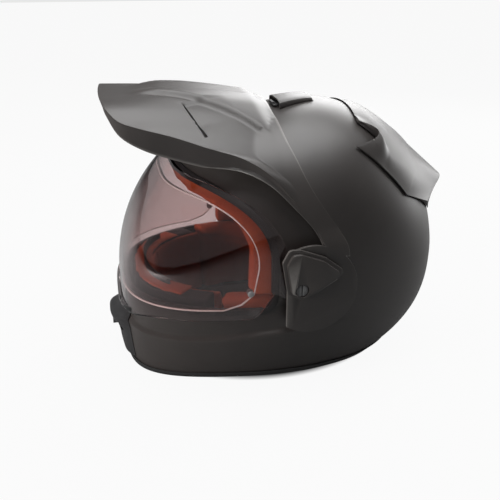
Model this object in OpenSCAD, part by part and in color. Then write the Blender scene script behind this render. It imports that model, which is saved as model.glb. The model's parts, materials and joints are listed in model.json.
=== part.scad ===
// Full face adventure helmet with a peak, a clear face shield and working vents.
// Front faces -Y, the rider's left is +X, up is +Z, in millimetres.
// The helmet stands on the plane z = 0 and is symmetrical about x = 0.

/* [Shell] */
// Half width of the outer shell at its widest level
shell_half_w = 116; // [112:0.5:120]
// Reach of the shell in front of the plan centre, at eye level
shell_front = 160; // [156:0.5:164]
// Reach of the shell behind the plan centre, at nape level
shell_rear = 158; // [154:1:164]
// Height of the crown above the resting plane
crown_z = 252; // [248:0.5:256]
// Wall thickness of the outer shell
shell_wall = 3.5; // [2.5:0.1:4.5]
// How far the chin band stands out below the shield
ridge_out = 4; // [2:0.5:5]

/* [Eyeport] */
// Height of the lower edge of the eyeport
port_low_z = 86; // [84:1:90]
// Height of the upper edge of the eyeport at the brow
port_top_z = 192; // [188:1:195]
// Rear edge of the eyeport, measured along Y
port_rear_y = -14; // [-18:1:-12]

/* [Shield] */
// Wall thickness of the clear shield
shield_wall = 2; // [1.8:0.1:2.2]
// How much further the shield reaches from its own centre than the shell from its plan centre
shield_ahead = 8; // [7:0.5:9]
// How far each arm of the shield stands out past the shell's half width
shield_stand = 7; // [6.5:0.25:8]
// Depth that the shield laps over the shell above the eyeport
shield_lap = 10; // [6:1:12]

/* [Liner] */
// Thickness of the energy absorbing liner at the sides
liner_wall = 28; // [22:1:32]
// Thickness of the comfort padding
pad_wall = 8; // [5:0.5:10]

/* [Vents] */
// Travel of the sliding vent shutters
vent_travel = 7; // [4:0.5:8]
// Width of the chin vent housing
chin_vent_w = 74; // [66:1:80]

/* [Fits] */
// Gap between rigid pieces that lie against each other
seat_gap = 0.3; // [0.2:0.05:0.4]
// Radial clearance of round running fits
run_gap = 0.08; // [0.04:0.01:0.1]

/* [Hidden] */

// Levels and exponents of the shell form
wide_z = 114;
nape_z = 101;
plan_y = 18;
crown_y = 44;
side_n = 2.3;
brow_n = 1.66;
back_n = 1.85;
front_n = 2.5;
rear_n = 2.15;
tuck_n = 2.6;
side_tuck = 0.72;
back_tuck = 0.95;
chin_tuck = 5;
shell_sides = 44;
crown_rows = 10;
shell_rows = 8;
lining_sides = 32;

// Edge trim, eyeport gasket and the gaps of the inner pieces
rim_rear_z = 14;
trim_wall = 1.2;
trim_reach = 4;
bead_in = 2.6;
bead_deep = 3.5;
bead_out = 3.5;
bead_wall = 0.8;
bead_gap = 0.5;
liner_gap = 1.2;
pad_gap = 0.7;
strap_wall = 1.6;
strap_w = 22;
rivet_r = 2;
rivet_head = 1;
rivet_z = 47;
ring_r = 1.5;
ring_z = 9.5;
ring_step = 3.4;
loop_wall = 1.4;
inner_inset = shell_wall + 3 * seat_gap + trim_wall;
pad_inset = inner_inset + strap_wall + rivet_head + 7 * seat_gap;

// Eyeport arcs in the side view
port_arc_y = -98;
port_arc_z = 134;
port_corner_r = 14;

// Shield form and pivot
shield_reach = shell_front + shield_ahead;
shield_half_w = shell_half_w + shield_stand;
shield_cy = 22;
shield_cz = 78;
shield_n = 3.2;
pivot_y = 6;
pivot_z = 112;
hub_r = 9;
arm_r = 17;
shield_open = 40;
screw_r = 3;
screw_head_r = 5.4;
base_r = 15.5;
base_wall = 1;

// Flat seat on each side of the shell, and the stack of pieces over it
seat_x = shell_half_w - 1.5;
disc_y = 17;
disc_z = 109;
disc_r = 41.5;
disc_front_y = -7;
arm_plate_x = shield_half_w + seat_gap;
arm_wall = 2.8;
pod_x = arm_plate_x + arm_wall + seat_gap;

// Reach of the cutting tools past what they cut
side_run = shell_half_w + 80;
bore_run = 30;

// Anti-fog insert behind the shield
fog_gap = 0.4;
fog_wall = 1;
fog_pin_y = -37;
fog_pin_z = 108;
fog_pin_r = 1.5;

// Chin shutter: its nub, and the lower edge of the window that the nub travels in
nub_w = 12;
nub_h = 4;
window_z = 30.7;
shutter_wall = 1.4;
shutter_gap = 0.9;
shutter_side = 7;
shutter_foot = 9;
slot_side = 3;
slot_foot = 6;
nub_reach = 12.2;

// Vent openings in the shell
vent_hole_w = 44;
chin_hole_z = 28;
chin_hole_h = 16;
top_slot = 3.4;
top_slot_y = 15;
exhaust_r = 6;
mesh_w = 50;
mesh_wall = 1.2;
mesh_pitch = 4;
mesh_rise = 3.8;
grille_pitch = 3;
grille_hole = 2;
slider_w = 24;
slider_l = 21.3;
slider_wall = 1;

// Crown scoop: half width and height in front and at the rear
scoop_front_w = 24;
scoop_rear_w = 16;
scoop_front_h = 7;
scoop_rear_h = 3.4;

// Peak form
peak_rows = 7;
peak_cols = 17;
peak_wall = 2.8;
peak_camber = 5;
peak_step = 3.5;

function side_of(v) = v < 0 ? -1 : 1;
function mix(a, b, t) = a + (b - a) * t;
function ease(a, b, v) = let (t = min(1, max(0, (v - a) / (b - a)))) t * t * (3 - 2 * t);
function lobe(u, n) = pow(max(0, 1 - pow(min(1, abs(u)), n)), 1 / n);
function fold(a) = abs(a > 180 ? 360 - a : a);
function unit(v) = v / norm(v);

// Shell half width, front reach, rear reach and plan centre at a height z.
// The inset v = [side, front, rear, top] moves the surface inwards.
function all4(i) = [i, i, i, i];
function up_share(z, v) = (z - wide_z) / (crown_z - v[3] - wide_z);
function half_w(z, v) = (shell_half_w - v[0])
    * (z > wide_z ? lobe(up_share(z, v), side_n) : lobe(side_tuck * (wide_z - z) / wide_z, tuck_n));
function front_l(z, v) = z > wide_z ? (shell_front - v[1]) * lobe(up_share(z, v), brow_n)
    : shell_front - v[1] - chin_tuck * pow((wide_z - z) / wide_z, 2);
function rear_l(z, v) = (shell_rear - v[2])
    * (z > nape_z ? lobe((z - nape_z) / (crown_z - v[3] - nape_z), back_n)
                  : lobe(back_tuck * (nape_z - z) / nape_z, tuck_n));
function mid_y(z, v) = plan_y + (crown_y - plan_y) * pow(max(0, min(1, up_share(z, v))), 2);

// Height of the chin ridge and of the bottom rim at a plan angle from the front
function ridge_z(a) = 48 + 15 * min(1, 1 - cos(fold(a)));
function rim_z(a) = mix(rim_rear_z, trim_wall + seat_gap, ease(75, 15, fold(a)));
function ridge_add(a, z) = ridge_out * ease(ridge_z(a) + 3, ridge_z(a) - 3, z) * ease(105, 80, fold(a));

// Point of the shell surface at plan angle a and height z
function shell_pt(a, z, v) =
    let (c = cos(a), s = sin(a), n = c > 0 ? front_n : rear_n, l = c > 0 ? front_l(z, v) : rear_l(z, v),
         b = v[0] > 1 ? 0 : ridge_add(a, z))
    [(half_w(z, v) + b) * side_of(s) * pow(abs(s), 2 / n),
     mid_y(z, v) - (l + b) * side_of(c) * pow(abs(c), 2 / n), z];

// Point of the surface inset by v, found along the line from the shell centre to p
function outside(p, v) = p[2] >= crown_z - v[3] ? 1
    : let (m = mid_y(p[2], v), f = p[1] < m, n = f ? front_n : rear_n,
           l = f ? front_l(p[2], v) : rear_l(p[2], v))
      pow(abs(p[0]) / max(0.01, half_w(p[2], v)), n) + pow(abs(p[1] - m) / max(0.01, l), n) - 1;
function seek(o, d, out, lo, hi, k) = k == 0 ? o + d * (lo + hi) / 2
    : let (m = (lo + hi) / 2) out(o + d * m) ? seek(o, d, out, lo, m, k - 1)
        : seek(o, d, out, m, hi, k - 1);
function snap(p, i) = let (o = [0, plan_y, wide_z])
    seek(o, p - o, function(q) outside(q, all4(i)) > 0, 0.3, 2.2, 16);
function surf_x(y, z, v) = let (m = mid_y(z, v), f = y < m, n = f ? front_n : rear_n)
    half_w(z, v) * lobe((y - m) / (f ? front_l(z, v) : rear_l(z, v)), n);

// Smooth curve through points, at t from 0 to 1
function curve(p, t) =
    let (n = len(p) - 1, q = min(n - 0.000001, max(0, t * n)), k = floor(q), f = q - k,
         a = p[max(0, k - 1)], b = p[k], c = p[k + 1], d = p[min(n, k + 2)])
    0.5 * (2 * b + (c - a) * f + (2 * a - 5 * b + 4 * c - d) * f * f
        + (3 * b - a - 3 * c + d) * f * f * f);

// Closed solid between two grids of points with the same rows and columns
module slab(outer, inner, loop = false) {
    r = len(outer);
    c = len(outer[0]);
    n = r * c;
    cc = loop ? c : c - 1;
    function id(i, j) = i * c + j % c;
    pts = concat([for (row = outer) each row], [for (row = inner) each row]);
    skin = [for (i = [0 : r - 2]) for (j = [0 : cc - 1])
        each [[id(i, j), id(i + 1, j), id(i + 1, j + 1)], [id(i, j), id(i + 1, j + 1), id(i, j + 1)]]];
    back = [for (f = skin) [f[2] + n, f[1] + n, f[0] + n]];
    ends = [for (j = [0 : cc - 1]) each [
        [id(0, j), id(0, j + 1), id(0, j + 1) + n], [id(0, j), id(0, j + 1) + n, id(0, j) + n],
        [id(r - 1, j + 1), id(r - 1, j), id(r - 1, j) + n],
        [id(r - 1, j + 1), id(r - 1, j) + n, id(r - 1, j + 1) + n]]];
    sides = loop ? [] : [for (i = [0 : r - 2]) each [
        [id(i + 1, 0), id(i, 0), id(i, 0) + n], [id(i + 1, 0), id(i, 0) + n, id(i + 1, 0) + n],
        [id(i, c - 1), id(i + 1, c - 1), id(i + 1, c - 1) + n],
        [id(i, c - 1), id(i + 1, c - 1) + n, id(i, c - 1) + n]]];
    polyhedron(pts, concat(skin, back, ends, sides), convexity = 6);
}

// Closed cap over the crown between insets v0 and v1, down to the height lo(a)
module cap(v0, v1, rows, sides, lo) {
    function lvl(k, a, v) = let (b = lo(a)) b < wide_z
        ? (k < rows ? level_z(k, rows, a, b)
            : wide_z + (crown_z - v[3] - wide_z) * sin(90 * (k - rows) / crown_rows))
        : b + (crown_z - v[3] - b) * sin(90 * k / (rows + crown_rows));
    top = rows + crown_rows;
    function ring(k, v) = [for (j = [0 : sides - 1]) let (a = 360 * j / sides)
        shell_pt(a, lvl(k, a, v), v)];
    grid = function(v) [for (k = [0 : top - 1]) ring(k, v)];
    n = top * sides;
    function id(k, j) = k * sides + j % sides;
    pts = concat([for (row = grid(v0)) each row], [for (row = grid(v1)) each row],
                 [[0, crown_y, crown_z - v0[3]], [0, crown_y, crown_z - v1[3]]]);
    skin = [for (k = [0 : top - 2]) for (j = [0 : sides - 1])
        each [[id(k, j), id(k + 1, j), id(k + 1, j + 1)], [id(k, j), id(k + 1, j + 1), id(k, j + 1)]]];
    back = [for (f = skin) [f[2] + n, f[1] + n, f[0] + n]];
    poles = [for (j = [0 : sides - 1]) each [
        [id(top - 1, j), 2 * n, id(top - 1, j + 1)],
        [id(top - 1, j + 1) + n, 2 * n + 1, id(top - 1, j) + n]]];
    rim = [for (j = [0 : sides - 1]) each [
        [id(0, j), id(0, j + 1), id(0, j + 1) + n], [id(0, j), id(0, j + 1) + n, id(0, j) + n]]];
    polyhedron(pts, concat(skin, back, poles, rim), convexity = 6);
}
// Levels of the rows below the widest level: even steps with no ridge, or set about the ridge
function level_z(k, rows, a, b) = let (r = ridge_z(a), t = b + trim_reach)
    rows < shell_rows ? mix(b, wide_z, k / rows)
    : [b, t, mix(t, r - 3, 0.3), mix(t, r - 3, 0.62), r - 3, r + 3, mix(r + 3, wide_z, 0.4),
        mix(r + 3, wide_z, 0.7)][k];

// Flat outline in the side view, carried through the full width
module across(half, x0 = undef) rotate([90, 0, 90])
    translate([0, 0, is_undef(x0) ? -half : x0]) linear_extrude(is_undef(x0) ? 2 * half : half) children();

function arc(cy, cz, ry, rz, a0, a1, n) =
    [for (q = [0 : n]) let (t = mix(a0, a1, q / n)) [cy + ry * cos(t), cz + rz * sin(t)]];
// Eyeport outline in the side view, grown by g
function port_upper(g, n = 12) = arc(port_arc_y, port_arc_z, port_rear_y - port_arc_y + g,
    port_top_z - port_arc_z + g, 0, 90, n);
function port_lower(g, n = 5) = arc(port_rear_y - port_corner_r, port_low_z + port_corner_r,
    port_corner_r + g, port_corner_r + g, -90, 0, n);
function port_outline(g) = concat([[-260, port_low_z - g]], port_lower(g), port_upper(g),
    [[-260, port_top_z + g]]);

module outer_shell() {
    color([0.2, 0.19, 0.18]) difference() {
        cap(all4(0), all4(shell_wall), shell_rows, shell_sides, function(a) rim_z(a));
        across(side_run) polygon(port_outline(0));
        for (s = [0, 1]) mirror([s, 0, 0]) {
            across(20, seat_x) translate([disc_y, disc_z]) circle(disc_r + 1, $fn = 96);
            across(2 * bore_run, seat_x - bore_run) translate([pivot_y, pivot_z])
                circle(screw_r + run_gap, $fn = 48);
        }
        translate([-vent_hole_w / 2, -190, chin_hole_z]) cube([vent_hole_w, 80, chin_hole_h]);
        for (k = [0, 1]) translate([-9, top_slot_y + k * 2 * top_slot, 230]) cube([18, top_slot, 40]);
        for (s = [0, 1]) mirror([s, 0, 0]) exhaust()
            cylinder(r = exhaust_r, h = 40, center = true, $fn = 48);
    }
}

// Places a child on the exhaust axis, through the shell under the spoiler's scallop
module exhaust() translate([0, plan_y, wide_z]) rotate([0, atan2(66, 116), 0]) rotate([-32.5, 0, 0])
    translate([0, 0, norm(snap([66, 92, 230], 0) - [0, plan_y, wide_z])]) children();

module base_trim() {
    ring = function(i, dz) [for (j = [0 : shell_sides - 1]) let (a = 360 * j / shell_sides)
        shell_pt(a, rim_z(a) + dz, all4(i))];
    t = trim_wall;
    i0 = -seat_gap;
    i1 = shell_wall + seat_gap;
    rows = [ring(i0, trim_reach), ring(i0 - t, trim_reach), ring(i0 - t, -seat_gap - t),
        ring(i1 + t, -seat_gap - t),
            ring(i1 + t, trim_reach), ring(i1, trim_reach), ring(i1, -seat_gap), ring(i0, -seat_gap)];
    color([0.1, 0.1, 0.1]) tube_loop(rows);
}

// Closed ring swept from a list of profile corners, each a loop of points
module tube_loop(rows) {
    r = len(rows);
    c = len(rows[0]);
    function id(i, j) = (i % r) * c + j % c;
    polyhedron([for (row = rows) each row], [for (i = [0 : r - 1]) for (j = [0 : c - 1]) each [
        [id(i, j), id(i, j + 1), id(i + 1, j + 1)], [id(i, j), id(i + 1, j + 1), id(i + 1, j)]]],
        convexity = 8);
}

// Point k of the left half of the eyeport edge, from the chin to the brow: moved s away from the
// opening in the side view, on the shell surface inset by i
edge_low = 14;
edge_corner = 18;
edge_rear = 29;
edge_end = 37;
function port_z(y, s) = let (e = (y - port_arc_y) / (port_rear_y - port_arc_y + s))
    port_arc_z + (port_top_z - port_arc_z + s) * (e < 0 ? 1 : lobe(e, 2));
function brow_at(a, s, v, z, k) = let (p = shell_pt(a, z, v)) k == 0 ? p : brow_at(a, s, v,
    port_z(p[1], s), k - 1);
function edge_pt(k, s, i) = let (v = all4(i))
    k < edge_low ? shell_pt(6 * k, port_low_z - s, v)
    : k >= edge_rear ? brow_at(7 * (edge_end - k), s, v, port_top_z, 6)
    : let (q = k < edge_corner ? port_lower(s, edge_corner - edge_low - 1)[k - edge_low]
                               : port_upper(s, 16)[k - edge_corner])
      [surf_x(q[0], q[1], v), q[0], q[1]];
module eyeport_gasket() {
    top = -seat_gap - bead_wall;
    profile = [[-bead_in, bead_deep], [-bead_in, top], [bead_out, top], [bead_out, -seat_gap],
        [-bead_gap, -seat_gap], [-bead_gap, bead_deep]];
    color([0.07, 0.07, 0.07]) tube_loop([for (c = profile)
        [for (k = [-edge_end + 1 : edge_end]) let (p = edge_pt(abs(k), c[0], c[1]))
            [side_of(k) * p[0], p[1], p[2]]]]);
}

// Ring turned about the shield's own axis, between two insets of its reach
function shield_line(i, n) = [for (k = [0 : n]) let (t = 180 * k / n)
    [(shield_reach - i) * pow(abs(sin(t)), 2 / shield_n),
     (shield_half_w - i) * side_of(cos(t)) * pow(abs(cos(t)), 2 / shield_n)]];
module shield_skin(i0, i1, n = 40) translate([0, shield_cy, shield_cz]) rotate([0, 90, 0])
    rotate_extrude($fn = 96)
        polygon(concat(shield_line(i0, n), [for (k = [n : -1 : 0]) shield_line(i1, n)[k]]));
function shield_x(y, z) = shield_half_w
    * lobe(norm([y - shield_cy, z - shield_cz]) / shield_reach, shield_n);
function fog_outline() = let (low = port_low_z + bead_in + 2 * seat_gap)
    concat([[-260, low], [-60, low + 2], [-44, low + 7], [-33, fog_pin_z - 2]],
        arc(port_arc_y, port_arc_z, 70, 56, -6, 90, 10), [[-260, port_arc_z + 56]]);
function shield_outline() = concat(
    [[-260, 62], [-118, 62], [-112, 80], [-36, 83], [-27, 90], [-16, 106], [pivot_y, pivot_z - arm_r]],
    [[pivot_y, pivot_z]],
    arc(port_arc_y, port_arc_z, port_rear_y - port_arc_y + shield_lap,
        port_top_z - port_arc_z + shield_lap, 6, 90, 14),
    [[-260, port_top_z + shield_lap]]);
module face_shield() {
    color([0.75, 0.8, 0.85, 0.35]) difference() {
        intersection() {
            shield_skin(0, shield_wall);
            across(side_run) {
                polygon(shield_outline());
                translate([pivot_y, pivot_z]) circle(arm_r, $fn = 64);
            }
        }
        across(side_run) translate([fog_pin_y, fog_pin_z]) circle(fog_pin_r + run_gap, $fn = 32);
        translate([0, pivot_y, pivot_z]) rotate([0, 90, 0])
            cylinder(r = hub_r + run_gap, h = 2 * side_run, center = true, $fn = 64);
    }
}

module fog_insert() {
    color([0.8, 0.7, 0.6, 0.3]) intersection() {
        shield_skin(shield_wall + fog_gap, shield_wall + fog_gap + fog_wall, 32);
        across(side_run) difference() {
            polygon(fog_outline());
            translate([fog_pin_y, fog_pin_z]) circle(fog_pin_r + 2 * run_gap, $fn = 32);
        }
    }
}

// Two pins through the shield that carry the insert at its rear ends
module insert_pins() color([0.7, 0.7, 0.7]) for (s = [0, 1]) mirror([s, 0, 0])
    translate([shield_x(fog_pin_y, fog_pin_z), fog_pin_y, fog_pin_z]) rotate([0, 90, 0]) {
        in = shield_wall + fog_gap + fog_wall;
        translate([0, 0, -in - 2.2]) cylinder(r = 3, h = 1.2, $fn = 32);
        translate([0, 0, -in - 1.2]) cylinder(r = fog_pin_r, h = in + 1.7, $fn = 32);
        translate([0, 0, 0.5]) cylinder(r = 2.8, h = 1, $fn = 32);
    }

// Disc against the flat seat of the shell, with the hub that the shield turns on
module shield_base() translate([seat_x + seat_gap, pivot_y, pivot_z]) rotate([0, 90, 0]) difference() {
    union() {
        cylinder(r = base_r, h = base_wall, $fn = 64);
        cylinder(r = hub_r, h = arm_plate_x - seat_x - 2 * seat_gap, $fn = 64);
    }
    translate([0, 0, -1]) cylinder(r = screw_r + run_gap, h = arm_plate_x - seat_x + 2, $fn = 48);
}
module shield_base_left() color([0.12, 0.12, 0.12]) shield_base();
module shield_base_right() color([0.12, 0.12, 0.12]) mirror([1, 0, 0]) shield_base();

// Outline of the peak's arm end in the side view, round behind the pod
module arm_disc(r) intersection() {
    translate([disc_y, disc_z]) circle(r, $fn = 96);
    translate([disc_front_y, disc_z - 60]) square([90, 108]);
}
module arm_end() {
    difference() {
        across(arm_wall, arm_plate_x) arm_disc(disc_r);
        across(2 * bore_run, arm_plate_x - bore_run / 2) translate([pivot_y, pivot_z])
            circle(screw_r + run_gap, $fn = 48);
    }
    // Rim that closes the gap to the shell behind and below the shield's arm
    across(arm_plate_x - seat_x + 1, seat_x + 0.6) difference() {
        intersection() {
            arm_disc(disc_r);
            translate([disc_y, disc_z]) polygon(concat([[0, 0]],
                [for (t = [-100 : 14 : 40]) [90 * cos(t), 90 * sin(t)]]));
        }
        translate([disc_y, disc_z]) circle(disc_r - 2.4, $fn = 96);
    }
}

// Peak: front boundary and rear boundary of one half, from the centre to the arm
peak_side_x = arm_plate_x + arm_wall - 0.2;
peak_front = [[0, -153, 265], [25, -152.5, 265], [45, -151, 264.5], [60, -148, 261], [74, -138, 252.5],
    [82, -119, 247], [87, -96, 241], [94, -68, 232], [101, -39, 223], [109, -17, 209], [116, 2, 187],
    [121.5, 19, 165], [peak_side_x, 27, 149], [peak_side_x, 30, 138]];
peak_rear = [[0, 0, 253.5], [16, 0, 253], [32, 0, 250], [46, 1, 244.5], [60, 1.5, 238], [72, 2.5, 230],
    [82, 4.5, 222], [92, 9, 210], [102, 14, 199], [111, 21, 188], [118, 31, 174], [122.5, 41, 161],
    [peak_side_x, 48, 148], [peak_side_x, 50, 138]];
// True where p lies at least i outside the shell and the path of the opening shield
function shield_side(p, i, t) = let (y = p[1] - pivot_y, z = p[2] - pivot_z)
    pow(abs(p[0]) / (shield_half_w + i), shield_n)
        + pow(norm([y * cos(t) + z * sin(-t) + pivot_y - shield_cy,
            z * cos(t) + y * sin(t) + pivot_z - shield_cz]) / (shield_reach + i), shield_n) - 1;
function free(p, i) = outside(p, all4(-i)) > 0
    && min([for (t = [0 : 5 : shield_open]) shield_side(p, i, t)]) > 0;
// Moves a point of the peak outwards until it is free
function lift(p, i) = free(p, i) ? p
    : let (o = [0, plan_y, wide_z]) seek(o, p - o, function(q) free(q, i), 1, 1.3, 14);
function peak_crease_x(y) = curve([[22, 0], [26, 0], [34, 0], [48, 0], [66, 0], [92, 0]],
    (y + 140) / 145)[0];
function peak_top(u, s) = let (p = mix(curve(peak_front, u), curve(peak_rear, u), s),
    c = peak_crease_x(p[1]))
    lift([p[0], p[1], p[2] + peak_camber * (1 - u) * sin(180 * s)
        + peak_step * ease(c + 5, c - 5, p[0]) * ease(0, 0.12, s) * ease(1, 0.85, s)],
            peak_wall + 2 * seat_gap);
// The skirt under the front and side edges, by its depth at u
function skirt_drop(u) = curve([[9, 0], [11, 0], [19, 0], [19, 0], [12, 0], [6, 0], [2, 0]], u)[0];
function peak_skirt(u) = let (p = peak_top(u, 0), d = skirt_drop(u), w = ease(0.1, 0.35, u))
    lift([p[0] - d * 0.35 * ease(0, 0.5, u), p[1] + d * 0.3 * (1 - w), p[2] - d], peak_wall + 2 * seat_gap);
function peak_row(k, u) = k == 0 ? peak_skirt(u) : peak_top(u, pow((k - 1) / peak_rows, 1.15));
function peak_in(k, u) = let (e = 0.01, p = peak_row(k, u), w = ease(0.1, 0.35, u),
    du = peak_top(min(1, u + e), 0.4) - peak_top(max(0, u - e), 0.4),
        ds = peak_top(u, 0.6) - peak_top(u, 0.3),
    n = unit(cross(du, ds)), q = p - peak_wall * [w, w - 1, 0])
    lift(k == 0 ? q : k == 1 ? q - n * peak_wall : p - n * peak_wall, 2 * seat_gap);
function peak_grid(f) = [for (k = [0 : peak_rows + 1]) [for (j = [-peak_cols : peak_cols])
    let (p = f(k, abs(j) / peak_cols)) [side_of(j) * p[0], p[1], p[2]]]];
module peak() color([0.25, 0.24, 0.23]) {
    difference() {
        slab(peak_grid(function(k, u) peak_row(k, u)), peak_grid(function(k, u) peak_in(k, u)));
        for (s = [0, 1]) mirror([s, 0, 0]) translate([64, -72, 240]) rotate([0, 0, 68])
            translate([-22, -1.6, 0]) cube([44, 3.2, 40]);
    }
    for (s = [0, 1]) mirror([s, 0, 0]) arm_end();
}

// Side pod over the arm end, with a bevelled flange and a well for its screw
pod_line = [[-11, 138], [-5, 149], [4, 149], [27, 140], [45, 126], [39, 119], [20, 107], [6, 102],
    [-6, 108]];
module side_pod() difference() {
    union() {
        across(3.2, pod_x) polygon(rounded(pod_line, 4));
        across(3.6, pod_x + 3.2) polygon(rounded(toward(pod_line, [12, 124], 0.86), 4));
    }
    across(60, pod_x + 3.4) translate([pivot_y, pivot_z]) circle(screw_head_r + 0.6, $fn = 48);
    across(2 * bore_run, arm_plate_x - bore_run / 2) translate([pivot_y, pivot_z])
        circle(screw_r + run_gap, $fn = 48);
}
function toward(p, c, k) = [for (q = p) c + (q - c) * k];
// Outline with each corner replaced by an arc that touches both of its sides
function rounded(p, r, m = 4) = let (n = len(p)) [for (i = [0 : n - 1]) let (b = p[i],
    u = unit(p[(i + n - 1) % n] - b), v = unit(p[(i + 1) % n] - b), w = unit(u + v),
    h = acos(max(-1, min(1, u * v))) / 2,
    q = min(r, 0.45 * tan(h) * min(norm(p[(i + n - 1) % n] - b), norm(p[(i + 1) % n] - b))),
    c = b + w * q / sin(h), s = atan2(-w[1], -w[0]), g = u[0] * v[1] - u[1] * v[0] > 0 ? -1 : 1)
    each [for (k = [0 : m]) let (t = s + g * (90 - h) * (2 * k / m - 1)) c + q * [cos(t), sin(t)]]];
module side_pod_left() color([0.2, 0.2, 0.2]) side_pod();
module side_pod_right() color([0.2, 0.2, 0.2]) mirror([1, 0, 0]) side_pod();

module pod_screws() color([0.3, 0.3, 0.3]) for (s = [0, 1]) mirror([s, 0, 0])
    translate([0, pivot_y, pivot_z]) rotate([0, 90, 0]) difference() {
        union() {
            translate([0, 0, seat_x - 2]) cylinder(r = screw_r, h = pod_x + 3.8 - seat_x + 2, $fn = 48);
            translate([0, 0, pod_x + 3.7]) cylinder(r = screw_head_r, h = 2.2, $fn = 48);
        }
        translate([-screw_head_r, -0.7, pod_x + 5.1]) cube([2 * screw_head_r, 1.4, 3]);
    }

// Beak over the chin: outer face by height, and the two intakes beside the shutter window
chin_profile = [[7.5, 5.5], [12, 6], [20, 6.7], [29, 7], [36, 9], [42, 13], [47, 14.5], [54, 8], [59, 3]];
function chin_out(z, t) = let (n = len(chin_profile) - 1,
    below = len([for (q = chin_profile) if (q[0] <= z) 1]), k = min(n - 1, max(0, below - 1)),
    a = chin_profile[k], b = chin_profile[k + 1])
    mix(a[1], b[1], (z - a[0]) / (b[0] - a[0])) * (1 - pow(abs(t), 4));
function chin_pt(t, z, i) = let (w = chin_vent_w / 2 * mix(0.72, 1, ease(57, 38, z)), x = w * t,
    n = front_n,
    b = ridge_add(20, z), v = all4(0), l = front_l(z, v) + b, h = half_w(z, v) + b)
    [x, mid_y(z, v) - l * lobe(x / h, n) - i, z];
module chin_vent_housing() {
    cols = 12;
    out = [for (q = chin_profile) [for (j = [0 : cols]) let (t = mix(-1, 1, j / cols))
        chin_pt(t, q[0], max(0.6, chin_out(q[0], t)))]];
    inn = [for (q = chin_profile) [for (j = [0 : cols]) let (t = mix(-1, 1, j / cols))
        chin_pt(t * 0.97, q[0], abs(t) > 0.9 || q[0] < 10 || q[0] > 55 ? 0.35
            : max(0.5, chin_out(q[0], t) - 2.2))]];
    color([0.16, 0.15, 0.15]) difference() {
        slab(out, inn);
        translate([-nub_w / 2 - seat_gap, -190, window_z]) cube([nub_w + 2 * seat_gap, 60,
            nub_h + vent_travel + 2 * seat_gap]);
        for (s = [1, -1]) translate([s * 23, -160, 36]) rotate([0, -s * 12, s * 20])
            cube([17, 60, 9], center = true);
    }
}
// Sliding shutter between the housing and the chin, with its nub in the housing's window
module chin_vent_shutter() color([0.1, 0.1, 0.1])
    translate([0, chin_pt(0, window_z, shutter_gap)[1], window_z + seat_gap]) {
        difference() {
            translate([-nub_w / 2 - shutter_side, -shutter_wall, -shutter_foot])
                cube([nub_w + 2 * shutter_side, shutter_wall, nub_h + vent_travel + shutter_foot + 1]);
            translate([-nub_w / 2 - slot_side, -5, -slot_foot]) cube([nub_w + 2 * slot_side, 10, nub_h]);
        }
        translate([-nub_w / 2, -nub_reach, 0]) cube([nub_w, nub_reach - 1.2, nub_h]);
    }
module chin_vent_mesh() color([0.15, 0.15, 0.15]) {
    back = chin_pt(0, 36, 0)[1] + ridge_out + shell_wall + 3.4;
    difference() {
        translate([-mesh_w / 2, back, chin_hole_z - 3]) cube([mesh_w, mesh_wall, chin_hole_h + 6]);
        for (i = [-5 : 5]) for (k = [0 : 3]) 
            translate([i * mesh_pitch - 1.3, back - 2, chin_hole_z + 0.8 + k * mesh_rise])
            cube([2.6, 6, 2.4]);
    }
}

// Top vent scoop on the crown: half width and height run down to the rear
function scoop_pt(t, s, i) =
    snap([mix(scoop_front_w, scoop_rear_w, s) * t, mix(11, 47, s), 262 - 6 * s], -i);
module top_vent_cover() {
    cols = 10;
    rows = 5;
    h = function(s) mix(scoop_front_h, scoop_rear_h, s);
    out = [for (r = [0 : rows]) [for (j = [0 : cols]) let (t = mix(1, -1, j / cols), s = r / rows)
        scoop_pt(t, s, abs(t) > 0.99 ? 0.5 : h(s) * (1 - 0.35 * pow(abs(t), 4)))]];
    inn = [for (r = [0 : rows]) [for (j = [0 : cols]) let (t = mix(1, -1, j / cols), s = r / rows)
        scoop_pt(t * 0.9, min(s, 0.94), abs(t) > 0.99 || s > 0.9 ? 0.35
            : h(s) * (1 - 0.35 * pow(abs(t), 4)) - 1.8)]];
    color([0.2, 0.2, 0.2]) slab([for (k = [rows : -1 : 0]) out[k]], [for (k = [rows : -1 : 0]) inn[k]]);
}
// Slotted shutter over the slots of the crown
module top_vent_slider() color([0.08, 0.08, 0.08]) {
    p = snap([0, 14, 262], 0);
    q = snap([0, 34, 262], 0);
    translate([0, p[1], p[2] + 1.1]) rotate([atan2(q[2] - p[2], q[1] - p[1]), 0, 0]) {
        difference() {
            translate([-slider_w / 2, -6, 0]) cube([slider_w, slider_l, slider_wall]);
            for (k = [0, 1]) translate([-9, 1 + top_slot + k * 2 * top_slot, -1]) cube([18, top_slot, 4]);
        }
        translate([-7, -6, 0.9]) cube([14, 2, 2]);
    }
}

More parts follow.
